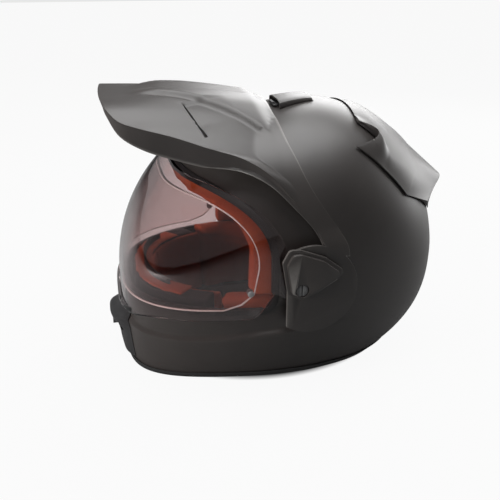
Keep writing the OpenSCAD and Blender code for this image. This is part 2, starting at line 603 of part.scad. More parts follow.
// Rear spoiler: rows from the front edge to the tip, columns from the centre to the side edge
function spoiler_front(x) = x < 52 ? mix(80, 76, x / 52)
    : let (t = (x - 52) / 26) mix(76, 68, t) + 21 * pow(sin(180 * t), 0.8);
spoiler_x = [0, 16, 32, 44, 52, 56, 61, 67, 73, 78];
function spoiler_pt(c, s) =
    let (x0 = spoiler_x[c], a = snap([x0, spoiler_front(x0), mix(246, 222, pow(x0 / 78, 2))], -4),
         q = x0 / 78,
         mid = snap(curve([[0, 118, 232], [40, 112, 222], [66, 104, 210], [84, 96, 200]], q), -4),
         low = snap(curve([[0, 150, 212], [38, 144, 202], [58, 134, 190], [84, 121, 176]], q),
             -4 - 3 * (1 - q)),
         tip = curve([[0, 187, 171], [14, 185, 169], [34, 170, 164], [62, 150, 160]], q))
    s < 0.5 ? mix(a, mid, s * 2) : s < 1 ? mix(mid, low, (s - 0.5) * 2)
        : s < 1.5 ? mix(low, tip, (s - 1) * 2)
    : mix(tip, snap([x0 * 0.62, 160, 148], -1.6), (s - 1.5) * 2);
module rear_spoiler() {
    n = len(spoiler_x) - 1;
    rows = [for (k = [0 : 12]) k / 6];
    out = [for (s = rows) [for (j = [-n : n]) let (p = spoiler_pt(abs(j), s))
        [side_of(j) * p[0], p[1], p[2]]]];
    inn = [for (row = out) [for (p = row) snap(p, -1.1)]];
    color([0.25, 0.24, 0.23]) slab(out, inn);
}
// Round grille in each exhaust hole
module rear_vent_mesh() color([0.08, 0.08, 0.08]) for (s = [0, 1]) mirror([s, 0, 0]) exhaust()
    translate([0, 0, -2.6]) difference() {
        cylinder(r = exhaust_r - seat_gap, h = 1.4, $fn = 48);
        for (i = [-1 : 1]) for (j = [-1 : 1])
            translate([i * grille_pitch - grille_hole / 2, j * grille_pitch - grille_hole / 2, -1])
            cube([grille_hole, grille_hole, 4]);
    }

// Lining of the crown: a cap that stops at the eyeport edge grown by g
cavity = [liner_wall + shell_wall, liner_wall + shell_wall, liner_wall + shell_wall + 14,
    liner_wall + shell_wall + 4];
module lining(v0, v1, rows, side_z, rear_z, g) difference() {
    cap(v0, v1, rows, lining_sides, function(a) mix(side_z, rear_z, ease(120, 150, fold(a))));
    across(side_run) polygon(concat([[-260, 0], [port_rear_y + g, 0]], port_upper(g),
        [[-260, port_top_z + g]]));
}
module eps_liner() color([0.15, 0.15, 0.16]) lining(all4(shell_wall + liner_gap), cavity, 4, 102, 46, 4);
module crown_pad() color([0.45, 0.13, 0.08]) lining(cavity + all4(pad_gap), cavity + all4(pad_wall), 0,
    150, 130, 8);

// Curved block between two insets, over plan angles a0 to a1 and heights lo(a) to hi(a)
module block(v0, v1, a0, a1, cols, rows, lo, hi, bulge = 0, foot = [0, 0]) {
    g = function(v, b) [for (r = [0 : rows]) [for (j = [0 : cols]) let (a = mix(a0, a1, j / cols),
        q = r / rows, k = b * sin(180 * q) * sin(180 * j / cols), z = mix(lo(a), hi(a), q),
        p = shell_pt(a, z < foot[1] ? foot[0] : z, v + all4(k)))
        [p[0], p[1], z]]];
    slab(g(v0, 0), g(v1, bulge));
}
module chin_liner() color([0.15, 0.15, 0.16])
    block(all4(shell_wall + 6), all4(shell_wall + 24), -58, 58, 16, 4, function(a) 12, function(a) 93);
module brow_band() color([0.5, 0.16, 0.1]) intersection() {
    cap(all4(shell_wall + 4), all4(shell_wall + 14), 0, lining_sides, function(a) 128);
    across(side_run) polygon(concat(port_upper(3.6), [[-260, port_top_z + 3.6], [-260, port_top_z - 13]],
        [for (k = [12 : -1 : 0]) port_upper(-13)[k]]));
}
module breath_guard() color([0.1, 0.1, 0.1])
    block(all4(shell_wall + 17), all4(shell_wall + 19), -34, 34, 12, 2, function(a) 93.4,
        function(a) 108 - 8 * pow(a / 34, 2));
module cheek(s) block(all4(pad_inset), all4(shell_wall + 26), s * 62, s * 118, 12, 8,
    function(a) 20, function(a) 98, 10);
module cheek_pad_left() color([0.45, 0.13, 0.08]) cheek(1);
module cheek_pad_right() color([0.45, 0.13, 0.08]) mirror([1, 0, 0]) cheek(1);
module neck_roll() color([0.12, 0.12, 0.12])
    block(all4(inner_inset), all4(shell_wall + 22), 126, 234, 18, 4, function(a) 0, function(a) 40, 3,
        [rim_rear_z - trim_wall - seat_gap, rim_rear_z + trim_reach + 4]);

// Strap half: down inside the shell from its rivet, then in under the cheek pad
function wall_x(z, i) = surf_x(plan_y, z, all4(i));
function strap_line() = let (h = strap_wall / 2)
    concat([for (z = [54, 46, 38, 30, 24, 19]) [wall_x(z, inner_inset) - h, z]],
        [[92, 13], [86, 10.5], [76, ring_z], [58, ring_z]]);
module ribbon(p, t) {
    n = len(p);
    edge = function(s) [for (i = [0 : n - 1]) let (d = unit(p[min(n - 1, i + 1)] - p[max(0, i - 1)]))
        p[i] + s * t / 2 * [-d[1], d[0]]];
    polygon(concat(edge(1), [for (i = [n - 1 : -1 : 0]) edge(-1)[i]]));
}
function ring_at(k) = [58 + ring_step * k, ring_z + ring_step * k];
// Rounded end of the strap round the bars of its rings
module ring_tab(rings, r) polygon([for (e = [0, 1]) for (k = [0 : 6])
    let (t = 135 + 180 * e + 30 * k) ring_at(e * (rings - 1)) + r * [cos(t), sin(t)]]);
module strap(rings) difference() {
    translate([0, plan_y + strap_w / 2, 0]) rotate([90, 0, 0]) {
        linear_extrude(strap_w) ribbon(strap_line(), strap_wall);
        if (rings > 0) linear_extrude(strap_w) ring_tab(rings, ring_r + loop_wall);
    }
    for (k = [0 : rings - 1]) translate([ring_at(k)[0], plan_y, ring_at(k)[1]]) rotate([90, 0, 0])
        cylinder(r = ring_r + run_gap, h = 2 * strap_w, center = true, $fn = 32);
    translate([wall_x(rivet_z, inner_inset) - bore_run / 2, plan_y, rivet_z]) rotate([0, 90, 0])
        cylinder(r = rivet_r + run_gap, h = bore_run, $fn = 32);
}
module chin_strap_left() color([0.08, 0.08, 0.08]) strap(2);
module chin_strap_right() color([0.08, 0.08, 0.08]) mirror([1, 0, 0]) strap(0);
module strap_rivets() color([0.6, 0.6, 0.6]) for (s = [0, 1]) mirror([s, 0, 0])
    translate([wall_x(rivet_z - 2.5 * rivet_r, inner_inset) - strap_wall - rivet_head, plan_y, rivet_z])
        rotate([0, 90, 0]) {
        cylinder(r = 2.2 * rivet_r, h = rivet_head, $fn = 32);
        cylinder(r = rivet_r, h = rivet_head + strap_wall + 2.2, $fn = 32);
    }
// Ring of the buckle: a straight bar in the strap's loop and a half round bow
module d_ring(k) translate([ring_at(k)[0], plan_y, ring_at(k)[1]]) {
    w = strap_w / 2 + 3.4;
    rotate([90, 0, 0]) cylinder(r = ring_r, h = 2 * w, center = true, $fn = 32);
    rotate([0, 0, 90]) rotate_extrude(angle = 180, $fn = 64) translate([w, 0]) circle(ring_r, $fn = 32);
}
module d_ring_front() color([0.7, 0.7, 0.7]) d_ring(0);
module d_ring_rear() color([0.7, 0.7, 0.7]) d_ring(1);

outer_shell();
base_trim();
eyeport_gasket();
eps_liner();
chin_liner();
crown_pad();
brow_band();
cheek_pad_left();
cheek_pad_right();
neck_roll();
breath_guard();
chin_strap_left();
chin_strap_right();
strap_rivets();
d_ring_front();
d_ring_rear();
shield_base_left();
shield_base_right();
face_shield();
fog_insert();
insert_pins();
peak();
side_pod_left();
side_pod_right();
pod_screws();
chin_vent_housing();
chin_vent_shutter();
chin_vent_mesh();
top_vent_cover();
top_vent_slider();
rear_spoiler();
rear_vent_mesh();
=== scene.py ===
# %% [markdown]
# # A full face adventure helmet
# The helmet is a hard outer shell with a bolted-on peak, a clear shield that turns about two side
# screws, vents and a soft lining. The CAD solids are the frame that everything is placed in: front is
# -Y, the rider's left is +X and up is +Z, in metres.

# %% Loading the frame
import json
import math
import bmesh
import bpy
from mathutils import Matrix, Vector


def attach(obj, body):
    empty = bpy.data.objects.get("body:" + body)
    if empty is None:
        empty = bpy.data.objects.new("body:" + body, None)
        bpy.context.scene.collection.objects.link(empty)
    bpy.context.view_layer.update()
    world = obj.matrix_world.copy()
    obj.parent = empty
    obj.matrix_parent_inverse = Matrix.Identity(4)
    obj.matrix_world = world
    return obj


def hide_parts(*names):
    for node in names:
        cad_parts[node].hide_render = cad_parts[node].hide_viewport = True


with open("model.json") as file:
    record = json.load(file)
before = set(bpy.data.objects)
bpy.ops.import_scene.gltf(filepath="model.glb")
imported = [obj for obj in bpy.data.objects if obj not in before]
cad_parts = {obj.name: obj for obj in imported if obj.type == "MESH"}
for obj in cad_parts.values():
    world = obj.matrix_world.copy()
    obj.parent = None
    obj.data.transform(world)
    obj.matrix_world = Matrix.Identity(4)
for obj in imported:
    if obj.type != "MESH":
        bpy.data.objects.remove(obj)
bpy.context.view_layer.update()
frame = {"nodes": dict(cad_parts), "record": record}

nodes = frame["nodes"]
rides_on = {n: body for body, members in frame["record"]["behaviour"]["bodies"].items() for n in members}
slot_of = {p["node"]: p["material_slot"] for p in frame["record"]["subparts"]}
MM = 0.001
print("solids in the frame:", len(nodes))

# %% [markdown]
# ## Camera
# The photograph is taken from the helmet's left, a little in front and from above, with a normal lens
# about 0.72 m away. A camera looks along its own -Z, so its turn comes from the direction to the target.

# %% Camera
view_from = Vector((0.9004, -0.1914, 0.3907))
target = Vector((0, -12, 97)) * MM
camera_data = bpy.data.cameras.new("camera")
camera_data.lens = 50.04
camera_data.sensor_width = 36
camera = bpy.data.objects.new("camera", camera_data)
camera.location = target + view_from * 0.72
camera.rotation_euler = (-view_from).to_track_quat("-Z", "Y").to_euler()
bpy.context.scene.collection.objects.link(camera)
bpy.context.scene.camera = camera
print("camera at", [round(v, 3) for v in camera.location])

# %% [markdown]
# ## Light, floor and background
# A product photograph has one broad soft lamp overhead and a white surround. Weaker lamps stand on the
# far side, behind and in front. The white is only what the camera, the gloss and the glass see of the
# world, so the dark paint stays dark. A ray that has bounced inside the helmet and then goes through
# the glass doesn't see it, or the lining would lie under a grey veil.

# %% Node helpers
def feed(tree, value, socket):
    """Sets a socket to a number, or links another node's socket to it."""
    if isinstance(value, (int, float)):
        socket.default_value = value
    else:
        tree.links.new(value, socket)


def maths(tree, operation, *values):
    """A Math node whose inputs are numbers or other nodes' sockets."""
    node = tree.nodes.new("ShaderNodeMath")
    node.operation = operation
    for k, v in enumerate(values):
        feed(tree, v, node.inputs[k])
    return node.outputs[0]


def between(tree, factor, low, high, start=0.0):
    """Maps a factor that runs from start to 1 onto low to high."""
    node = tree.nodes.new("ShaderNodeMapRange")
    tree.links.new(factor, node.inputs["Value"])
    node.inputs["From Min"].default_value = start
    node.inputs["To Min"].default_value = low
    node.inputs["To Max"].default_value = high
    return node.outputs["Result"]


def mix_shaders(tree, factor, first, second, out):
    """Mixes two shader nodes by the factor and links the mix to the output node."""
    node = tree.nodes.new("ShaderNodeMixShader")
    for k, socket in enumerate((factor, first.outputs[0], second.outputs[0])):
        tree.links.new(socket, node.inputs[k])
    tree.links.new(node.outputs[0], out.inputs[0])


def through_glass(tree, rays):
    """1 for a ray that went straight through glass, with no bounce on a solid piece before."""
    bounces = maths(tree, "ADD", rays["Diffuse Depth"], rays["Glossy Depth"])
    return maths(tree, "MULTIPLY", maths(tree, "LESS_THAN", bounces, 0.5), rays["Is Transmission Ray"])


# %% World
GLOSS_SHARE, SKY_STRENGTH = 0.2, 0.07
scene = bpy.context.scene
scene.view_settings.view_transform = "Standard"
world = bpy.data.worlds.new("studio")
scene.world = world
world.use_nodes = True
sky = world.node_tree
sky.nodes.clear()
sky_rays = sky.nodes.new("ShaderNodeLightPath").outputs
by_gloss = maths(sky, "MULTIPLY", sky_rays["Is Glossy Ray"], GLOSS_SHARE)
not_camera = maths(sky, "MAXIMUM", by_gloss, through_glass(sky, sky_rays))
seen = maths(sky, "MAXIMUM", sky_rays["Is Camera Ray"], not_camera)
soft_sky = sky.nodes.new("ShaderNodeBackground")
soft_sky.inputs["Color"].default_value = (0.9, 0.95, 1, 1)
soft_sky.inputs["Strength"].default_value = SKY_STRENGTH
white = sky.nodes.new("ShaderNodeBackground")
mix_shaders(sky, seen, soft_sky, white, sky.nodes.new("ShaderNodeOutputWorld"))
print("world nodes:", len(sky.nodes))


# %% Lamps
def soft_lamp(name, place, aim, size, power):
    data = bpy.data.lights.new(name, "AREA")
    data.size = size
    data.energy = power
    lamp = bpy.data.objects.new(name, data)
    lamp.location = place
    lamp.rotation_euler = (Vector(aim) - Vector(place)).to_track_quat("-Z", "Y").to_euler()
    scene.collection.objects.link(lamp)
    return lamp


soft_lamp("overhead", (0.05, 0.05, 1.5), (0, 0, 0.15), 1.3, 36)
soft_lamp("far_window", (-1.0, 0.6, 0.75), (0, 0, 0.15), 0.8, 13)
soft_lamp("rear_window", (-0.4, 1.3, 0.5), (0, 0.1, 0.15), 1.0, 14)
front_window = soft_lamp("front_window", (0.3, -1.4, 0.35), (0, 0, 0.12), 0.5, 34)
front_window.visible_glossy = False
front_window.visible_transmission = False

# %% [markdown]
# The floor is one large sheet. To the camera it glows near white, as over-lit paper does, yet part of it
# still answers to the lamps, which keeps the helmet's soft shadow. Under the helmet lies a painted shadow:
# an ellipse where the floor neither glows nor throws light back and is painted near black, so that the
# lining stays dark.

# %% Floor
# The painted shadow under the helmet: its near-black tone, and the half axes, shift and soft edge of its
# ellipse.
FLOOR_HALF, GLOW_SHARE, PAINTED_SHADOW_TONE, PAPER_TONE = 6, 0.94, 0.01, 0.2
SHADOW_MASK_X, SHADOW_MASK_Y, SHADOW_MASK_SHIFT, SHADOW_MASK_EDGE = 0.115, 0.138, 0.02, 0.92
floor_mesh = bpy.data.meshes.new("floor")
fb = bmesh.new()
bmesh.ops.create_grid(fb, x_segments=1, y_segments=1, size=FLOOR_HALF)
fb.to_mesh(floor_mesh)
fb.free()
floor = bpy.data.objects.new("floor", floor_mesh)
scene.collection.objects.link(floor)
paper = bpy.data.materials.new("studio_paper")
paper.use_nodes = True
pt = paper.node_tree
pt.nodes.clear()
matt, glow = pt.nodes.new("ShaderNodeBsdfDiffuse"), pt.nodes.new("ShaderNodeEmission")
glow.inputs["Strength"].default_value = 1
paper_rays = pt.nodes.new("ShaderNodeLightPath").outputs
paper_seen = maths(pt, "MAXIMUM", paper_rays["Is Camera Ray"], through_glass(pt, paper_rays))
plan = pt.nodes.new("ShaderNodeVectorMath")
plan.operation = "MULTIPLY_ADD"
plan.inputs[1].default_value = (1 / SHADOW_MASK_X, 1 / SHADOW_MASK_Y, 0)
plan.inputs[2].default_value = (SHADOW_MASK_SHIFT / SHADOW_MASK_X, 0, 0)
pt.links.new(pt.nodes.new("ShaderNodeTexCoord").outputs["Object"], plan.inputs[0])
away = pt.nodes.new("ShaderNodeVectorMath")
away.operation = "LENGTH"
pt.links.new(plan.outputs["Vector"], away.inputs[0])
# Painted shadow mask: 0 inside the ellipse under the helmet, rising to 1 at its edge.
outside_painted_shadow = between(pt, away.outputs["Value"], 0, 1, SHADOW_MASK_EDGE)
pt.links.new(between(pt, outside_painted_shadow, PAINTED_SHADOW_TONE, PAPER_TONE), matt.inputs["Color"])
share = maths(pt, "MULTIPLY", maths(pt, "MULTIPLY", paper_seen, outside_painted_shadow), GLOW_SHARE)
mix_shaders(pt, share, matt, glow, pt.nodes.new("ShaderNodeOutputMaterial"))
floor_mesh.materials.append(paper)
print("paper nodes:", len(pt.nodes))

# %% [markdown]
# ## The shell's form
# Every hard piece follows one surface. At each height the plan is a rounded oval, a little square in
# front, and its half width and reach shrink towards the crown and towards the neck. An inset moves the
# surface inwards, so that liner, pads and trims follow the same form at their own depth.

# %% Form of the shell
HALF_W, FRONT, REAR, CROWN_Z, WALL, RIDGE = 116, 160, 158, 252, 3.5, 4
PORT_LOW, PORT_TOP, PORT_REAR = 86, 198, -14
WIDE_Z, NAPE_Z, PLAN_Y, CROWN_Y = 114, 101, 18, 44
ARC_Y, ARC_Z, CORNER_R = -98, 134, 14
NONE = (0, 0, 0, 0)
AHEAD, ASIDE, MIDDLE = -260, 200, (0, 20, 110)


def every(i):
    return (i, i, i, i)


def side_of(v):
    return -1 if v < 0 else 1


def mix(a, b, t):
    return a + (b - a) * t


def ease(a, b, v):
    t = min(1, max(0, (v - a) / (b - a)))
    return t * t * (3 - 2 * t)


def lobe(u, n):
    return max(0, 1 - min(1, abs(u)) ** n) ** (1 / n)


def sin(a):
    return math.sin(math.radians(a))


def cos(a):
    return math.cos(math.radians(a))


def up_share(z, v):
    return (z - WIDE_Z) / (CROWN_Z - v[3] - WIDE_Z)


def half_w(z, v):
    if z > WIDE_Z:
        return (HALF_W - v[0]) * lobe(up_share(z, v), 2.3)
    return (HALF_W - v[0]) * lobe(0.72 * (WIDE_Z - z) / WIDE_Z, 2.6)


def front_l(z, v):
    if z > WIDE_Z:
        return (FRONT - v[1]) * lobe(up_share(z, v), 1.66)
    return FRONT - v[1] - 5 * ((WIDE_Z - z) / WIDE_Z) ** 2


def rear_l(z, v):
    if z > NAPE_Z:
        return (REAR - v[2]) * lobe((z - NAPE_Z) / (CROWN_Z - v[3] - NAPE_Z), 1.85)
    return (REAR - v[2]) * lobe(0.95 * (NAPE_Z - z) / NAPE_Z, 2.6)


def mid_y(z, v):
    return PLAN_Y + (CROWN_Y - PLAN_Y) * max(0, min(1, up_share(z, v))) ** 2


def fold(a):
    a = a % 360
    return 360 - a if a > 180 else a


def ridge_z(a):
    return 48 + 19 * min(1, 1 - cos(fold(a)))


def rim_z(a):
    return mix(14, 1.5, ease(75, 15, fold(a)))


def ridge_add(a, z):
    r = ridge_z(a)
    return RIDGE * ease(r + 3, r - 3, z) * ease(105, 80, fold(a))


def shell_pt(a, z, v=NONE):
    """Point of the surface, inset by v, at plan angle a from the front and height z, in millimetres."""
    c, s = cos(a), sin(a)
    n = 2.5 if c > 0 else 2.15
    reach = front_l(z, v) if c > 0 else rear_l(z, v)
    b = 0 if v[0] > 1 else ridge_add(a, z)
    return Vector(((half_w(z, v) + b) * side_of(s) * abs(s) ** (2 / n),
                   mid_y(z, v) - (reach + b) * side_of(c) * abs(c) ** (2 / n), z))


def outside(p, v=NONE):
    if p[2] >= CROWN_Z - v[3]:
        return 1
    m = mid_y(p[2], v)
    front = p[1] < m
    n = 2.5 if front else 2.15
    reach = front_l(p[2], v) if front else rear_l(p[2], v)
    return (abs(p[0]) / max(0.01, half_w(p[2], v))) ** n + (abs(p[1] - m) / max(0.01, reach)) ** n - 1


CORE = Vector((0, PLAN_Y, WIDE_Z))


def seek(d, test, lo, hi, steps):
    """The point on the line from the core along d where test turns true."""
    for _ in range(steps):
        m = (lo + hi) / 2
        lo, hi = (lo, m) if test(CORE + d * m) else (m, hi)
    return CORE + d * (lo + hi) / 2


def snap(p, i):
    v = every(i)
    return seek(Vector(p) - CORE, lambda q: outside(q, v) > 0, 0.3, 2.2, 18)


def surf_x(y, z, v):
    m = mid_y(z, v)
    front = y < m
    reach, n = (front_l(z, v), 2.5) if front else (rear_l(z, v), 2.15)
    return half_w(z, v) * lobe((y - m) / reach, n)


def curve(points, t):
    """Smooth curve through the points, at t from 0 to 1."""
    n = len(points) - 1
    q = min(n - 0.000001, max(0, t * n))
    k = math.floor(q)
    f = q - k
    a, b, c, d = (Vector(points[i]) for i in (max(0, k - 1), k, k + 1, min(n, k + 2)))
    square, cube = 2 * a - 5 * b + 4 * c - d, 3 * b - a - 3 * c + d
    return 0.5 * (2 * b + (c - a) * f + square * f * f + cube * f ** 3)


def track(values, t):
    """Smooth run of a single value, at t from 0 to 1."""
    return curve([(v, 0) for v in values], t)[0]


print("widest half width", round(half_w(WIDE_Z, NONE)), "mm")

# %% [markdown]
# ## Helpers for making meshes
# A sheet starts as a flat grid from bmesh and is laid on its surface point by point. Where it closes on
# itself, the doubled points are merged. Cuts are made by the Boolean modifier, which is applied at once,
# and edges are marked sharp by angle so that smooth shading keeps the creases.


# %% Mesh helpers
def keep(bm, name):
    """Puts a finished bmesh into a new object at the origin."""
    mesh = bpy.data.meshes.new(name)
    bm.to_mesh(mesh)
    bm.free()
    piece = bpy.data.objects.new(name, mesh)
    scene.collection.objects.link(piece)
    return piece


def face_out(bm):
    bmesh.ops.recalc_face_normals(bm, faces=bm.faces)
    return bm


def turn_out(bm):
    """Turns a closed form round where its faces look inwards."""
    if bm.calc_volume(signed=True) < 0:
        bmesh.ops.reverse_faces(bm, faces=bm.faces)
    return bm


def bridge(bm):
    """Closes the gap between the open borders of two sheets."""
    bmesh.ops.bridge_loops(bm, edges=[e for e in bm.edges if e.is_boundary])
    return face_out(bm)


def sheet(place, cols, rows, merge=True):
    """A grid of cols by rows faces laid on place(u, v), u and v from 0 to 1, millimetres to metres."""
    bm = bmesh.new()
    bmesh.ops.create_grid(bm, x_segments=cols, y_segments=rows, size=1)
    for vert in bm.verts:
        vert.co = place((vert.co.x + 1) / 2, (vert.co.y + 1) / 2) * MM
    if merge:
        bmesh.ops.remove_doubles(bm, verts=bm.verts, dist=0.00001)
    return face_out(bm)


def outward(bm, centre):
    """Turns every face the other way where most of them face the centre."""
    c = Vector(centre) * MM
    if sum((f.calc_center_median() - c).dot(f.normal) * f.calc_area() for f in bm.faces) < 0:
        bmesh.ops.reverse_faces(bm, faces=bm.faces)
    return bm


def thicken(bm, wall):
    """Gives an open sheet its wall, inwards, in millimetres."""
    bmesh.ops.solidify(bm, geom=bm.faces[:] + bm.edges[:] + bm.verts[:], thickness=wall * MM)
    return turn_out(bm)


def between_sheets(outer, inner, cols, rows):
    """A closed form between two sheets of the same grid, joined round their borders."""
    bm, back = sheet(outer, cols, rows, False), sheet(inner, cols, rows, False)
    spare = bpy.data.meshes.new("spare")
    back.to_mesh(spare)
    back.free()
    bm.from_mesh(spare)
    bpy.data.meshes.remove(spare)
    return turn_out(bridge(bm))


def smooth(piece, angle=30):
    for face in piece.data.polygons:
        face.use_smooth = True
    piece.data.set_sharp_from_angle(angle=math.radians(angle))
    return piece


def apply_modifiers(piece):
    bpy.context.view_layer.update()
    done = bpy.data.meshes.new_from_object(piece.evaluated_get(bpy.context.evaluated_depsgraph_get()))
    piece.modifiers.clear()
    old = piece.data
    piece.data = done
    bpy.data.meshes.remove(old)
    return piece


def boolean(piece, tool, operation="DIFFERENCE"):
    """Cuts the tool from the piece, or joins it on, and throws the tool away."""
    mod = piece.modifiers.new("boolean", "BOOLEAN")
    mod.operation = operation
    mod.solver = "EXACT"
    mod.object = tool
    apply_modifiers(piece)
    bpy.data.objects.remove(tool)
    return piece


def edited(piece, work):
    """Runs work on the piece's mesh, taken as a bmesh."""
    bm = bmesh.new()
    bm.from_mesh(piece.data)
    work(bm)
    bm.to_mesh(piece.data)
    bm.free()
    return piece


def join(piece, other):
    """Adds another closed form to the piece's mesh and throws its object away."""
    edited(piece, lambda bm: bm.from_mesh(other.data))
    bpy.data.objects.remove(other)
    return piece


def nested(outer, inner, name):
    """One form inside another as a single piece, the inner one turned inside out."""
    bmesh.ops.reverse_faces(inner, faces=inner.faces)
    return join(keep(outer, name), keep(inner, name + "_core"))


def at(*place):
    return Matrix.Translation(place)


def turned(degrees, axis):
    return Matrix.Rotation(math.radians(degrees), 4, axis)


def prism(outline, x0=-ASIDE, x1=ASIDE):
    """A side-view outline (y, z) carried from x0 to x1, in millimetres."""
    bm = bmesh.new()
    face = bm.faces.new([bm.verts.new(Vector((x0, y, z)) * MM) for y, z in outline])
    out = bmesh.ops.extrude_face_region(bm, geom=[face])
    moved = [g for g in out["geom"] if isinstance(g, bmesh.types.BMVert)]
    bmesh.ops.translate(bm, verts=moved, vec=((x1 - x0) * MM, 0, 0))
    return keep(face_out(bm), "tool")


def placed(bm, place):
    """A tool made in millimetres at the origin, under a placing matrix."""
    bmesh.ops.transform(bm, matrix=Matrix.Scale(MM, 4) @ place, verts=bm.verts)
    return keep(bm, "tool")


def block(size, place):
    """A box of that size in millimetres, under a placing matrix in millimetres."""
    bm = bmesh.new()
    bmesh.ops.create_cube(bm, size=1)
    bmesh.ops.scale(bm, verts=bm.verts, vec=size)
    return placed(bm, place)


def rod(radius, length, place, sides=64):
    """A cylinder along Z, centred, under a placing matrix in millimetres."""
    bm = bmesh.new()
    bmesh.ops.create_cone(bm, cap_ends=True, segments=sides, radius1=radius, radius2=radius, depth=length)
    return placed(bm, place)


def along_x(y, z, x=0):
    return at(x, y, z) @ turned(90, "Y")


def soften(piece, width, angle=35, segments=2):
    """Rounds the sharp edges by width in millimetres."""
    mod = piece.modifiers.new("bevel", "BEVEL")
    mod.width = width * MM
    mod.segments = segments
    mod.limit_method = "ANGLE"
    mod.angle_limit = math.radians(angle)
    mod.miter_outer = "MITER_ARC"
    return apply_modifiers(piece)


def copy_of(node, name, width=0.0, angle=35):
    """A merged copy of a CAD node, with its flat faces joined and its edges softened."""
    bm = bmesh.new()
    bm.from_mesh(nodes[node].data)
    bmesh.ops.remove_doubles(bm, verts=bm.verts, dist=0.00001)
    bmesh.ops.dissolve_limit(bm, angle_limit=math.radians(0.6), verts=bm.verts, edges=bm.edges)
    piece = keep(bm, name)
    if width:
        soften(piece, width, angle)
    return smooth(piece)


def finish_piece(piece, material, *replaced, like=None):
    """Gives the piece its material and the body of the node that it replaces or goes with, and hides the
    replaced nodes.
    """
    node = like or replaced[0]
    body, slot = rides_on[node], slot_of[node]
    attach(piece, body)
    piece.data.materials.clear()
    piece.data.materials.append(material)
    if replaced:
        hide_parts(*replaced)
    print("finished", piece.name, "with", len(piece.data.polygons), "faces")


# %% [markdown]
# ## Effects shared by the materials
# Grain, mottling, edge wear and knit turn up on several finishes, so each is a node group that puts out
# only a mask or a height. The shader itself stays in each material.

# %% Group helpers
NUMBER, VECTOR = "NodeSocketFloat", "NodeSocketVector"


def new_group(name, inputs, outputs):
    tree = bpy.data.node_groups.new(name, "ShaderNodeTree")
    for label, kind, value in inputs:
        socket = tree.interface.new_socket(label, in_out="INPUT", socket_type=kind)
        if value is not None:
            socket.default_value = value
    for label, kind in outputs:
        tree.interface.new_socket(label, in_out="OUTPUT", socket_type=kind)
    return tree, tree.nodes.new("NodeGroupInput"), tree.nodes.new("NodeGroupOutput")


def noise(tree, vector, scale, detail=3, roughness=0.5):
    node = tree.nodes.new("ShaderNodeTexNoise")
    tree.links.new(vector, node.inputs["Vector"])
    feed(tree, scale, node.inputs["Scale"])
    node.inputs["Detail"].default_value = detail
    node.inputs["Roughness"].default_value = roughness
    return node.outputs["Fac"]


# %% Group: moulded grain and mottling
grain_tree, gi, go = new_group("moulded_grain", [("Vector", VECTOR, None), ("Size", NUMBER, 1500)],
                               [("Height", NUMBER), ("Mottle", NUMBER)])
grain_fine = noise(grain_tree, gi.outputs["Vector"], gi.outputs["Size"], 2, 0.6)
grain_wide = noise(grain_tree, gi.outputs["Vector"], 26, 4, 0.6)
grain_tree.links.new(grain_fine, go.inputs["Height"])
grain_tree.links.new(grain_wide, go.inputs["Mottle"])

# %% Group: wear along the edges
wear_tree, wi, wo = new_group("edge_wear", [("Vector", VECTOR, None), ("Reach", NUMBER, 12)],
                              [("Mask", NUMBER)])
geo = wear_tree.nodes.new("ShaderNodeNewGeometry")
edge = maths(wear_tree, "SUBTRACT", geo.outputs["Pointiness"], 0.53)
edge = maths(wear_tree, "MULTIPLY", edge, wi.outputs["Reach"])
patchy = noise(wear_tree, wi.outputs["Vector"], 90, 4, 0.65)
edge = maths(wear_tree, "MULTIPLY", edge, maths(wear_tree, "ADD", patchy, 0.35))
clamp = wear_tree.nodes.new("ShaderNodeClamp")
wear_tree.links.new(edge, clamp.inputs["Value"])
wear_tree.links.new(clamp.outputs[0], wo.inputs["Mask"])

# %% Group: knit
knit_tree, ki, ko = new_group("knit", [("Vector", VECTOR, None), ("Stitch", NUMBER, 620)],
                              [("Height", NUMBER), ("Shade", NUMBER)])
cells = knit_tree.nodes.new("ShaderNodeTexVoronoi")
cells.feature = "F1"
knit_tree.links.new(ki.outputs["Vector"], cells.inputs["Vector"])
knit_tree.links.new(ki.outputs["Stitch"], cells.inputs["Scale"])
cells.inputs["Randomness"].default_value = 0.35
fuzz = noise(knit_tree, ki.outputs["Vector"], 2600, 2, 0.7)
tuft = maths(knit_tree, "SUBTRACT", 1, cells.outputs["Distance"])
relief = maths(knit_tree, "ADD", tuft, maths(knit_tree, "MULTIPLY", fuzz, 0.4))
knit_tree.links.new(relief, ko.inputs["Height"])
mottle = maths(knit_tree, "MULTIPLY", noise(knit_tree, ki.outputs["Vector"], 34, 4), 0.7)
shade = maths(knit_tree, "ADD", mottle, maths(knit_tree, "MULTIPLY", tuft, 0.3))
knit_tree.links.new(shade, ko.inputs["Shade"])
print("groups:", [g.name for g in bpy.data.node_groups])

# %% [markdown]
# ## Materials
# Each finish is a Principled shader fed by the groups: colour between two tones, roughness that varies,
# and a fine bump. Constant values sit on the shader's own sockets.


# %% Material helpers
def new_material(name):
    material = bpy.data.materials.new(name)
    material.use_nodes = True
    tree = material.node_tree
    shader = tree.nodes["Principled BSDF"]
    place = tree.nodes.new("ShaderNodeTexCoord").outputs["Object"]
    return material, tree, shader, place


def use_group(tree, group, vector, **values):
    node = tree.nodes.new("ShaderNodeGroup")
    node.node_tree = group
    tree.links.new(vector, node.inputs["Vector"])
    for label, v in values.items():
        node.inputs[label].default_value = v
    return node.outputs


def two_tones(tree, factor, a, b):
    node = tree.nodes.new("ShaderNodeMix")
    node.data_type = "RGBA"
    tree.links.new(factor, node.inputs["Factor"])
    for socket, colour in ((node.inputs[6], a), (node.inputs[7], b)):
        if isinstance(colour, tuple):
            socket.default_value = (*colour, 1)
        else:
            tree.links.new(colour, socket)
    return node.outputs[2]


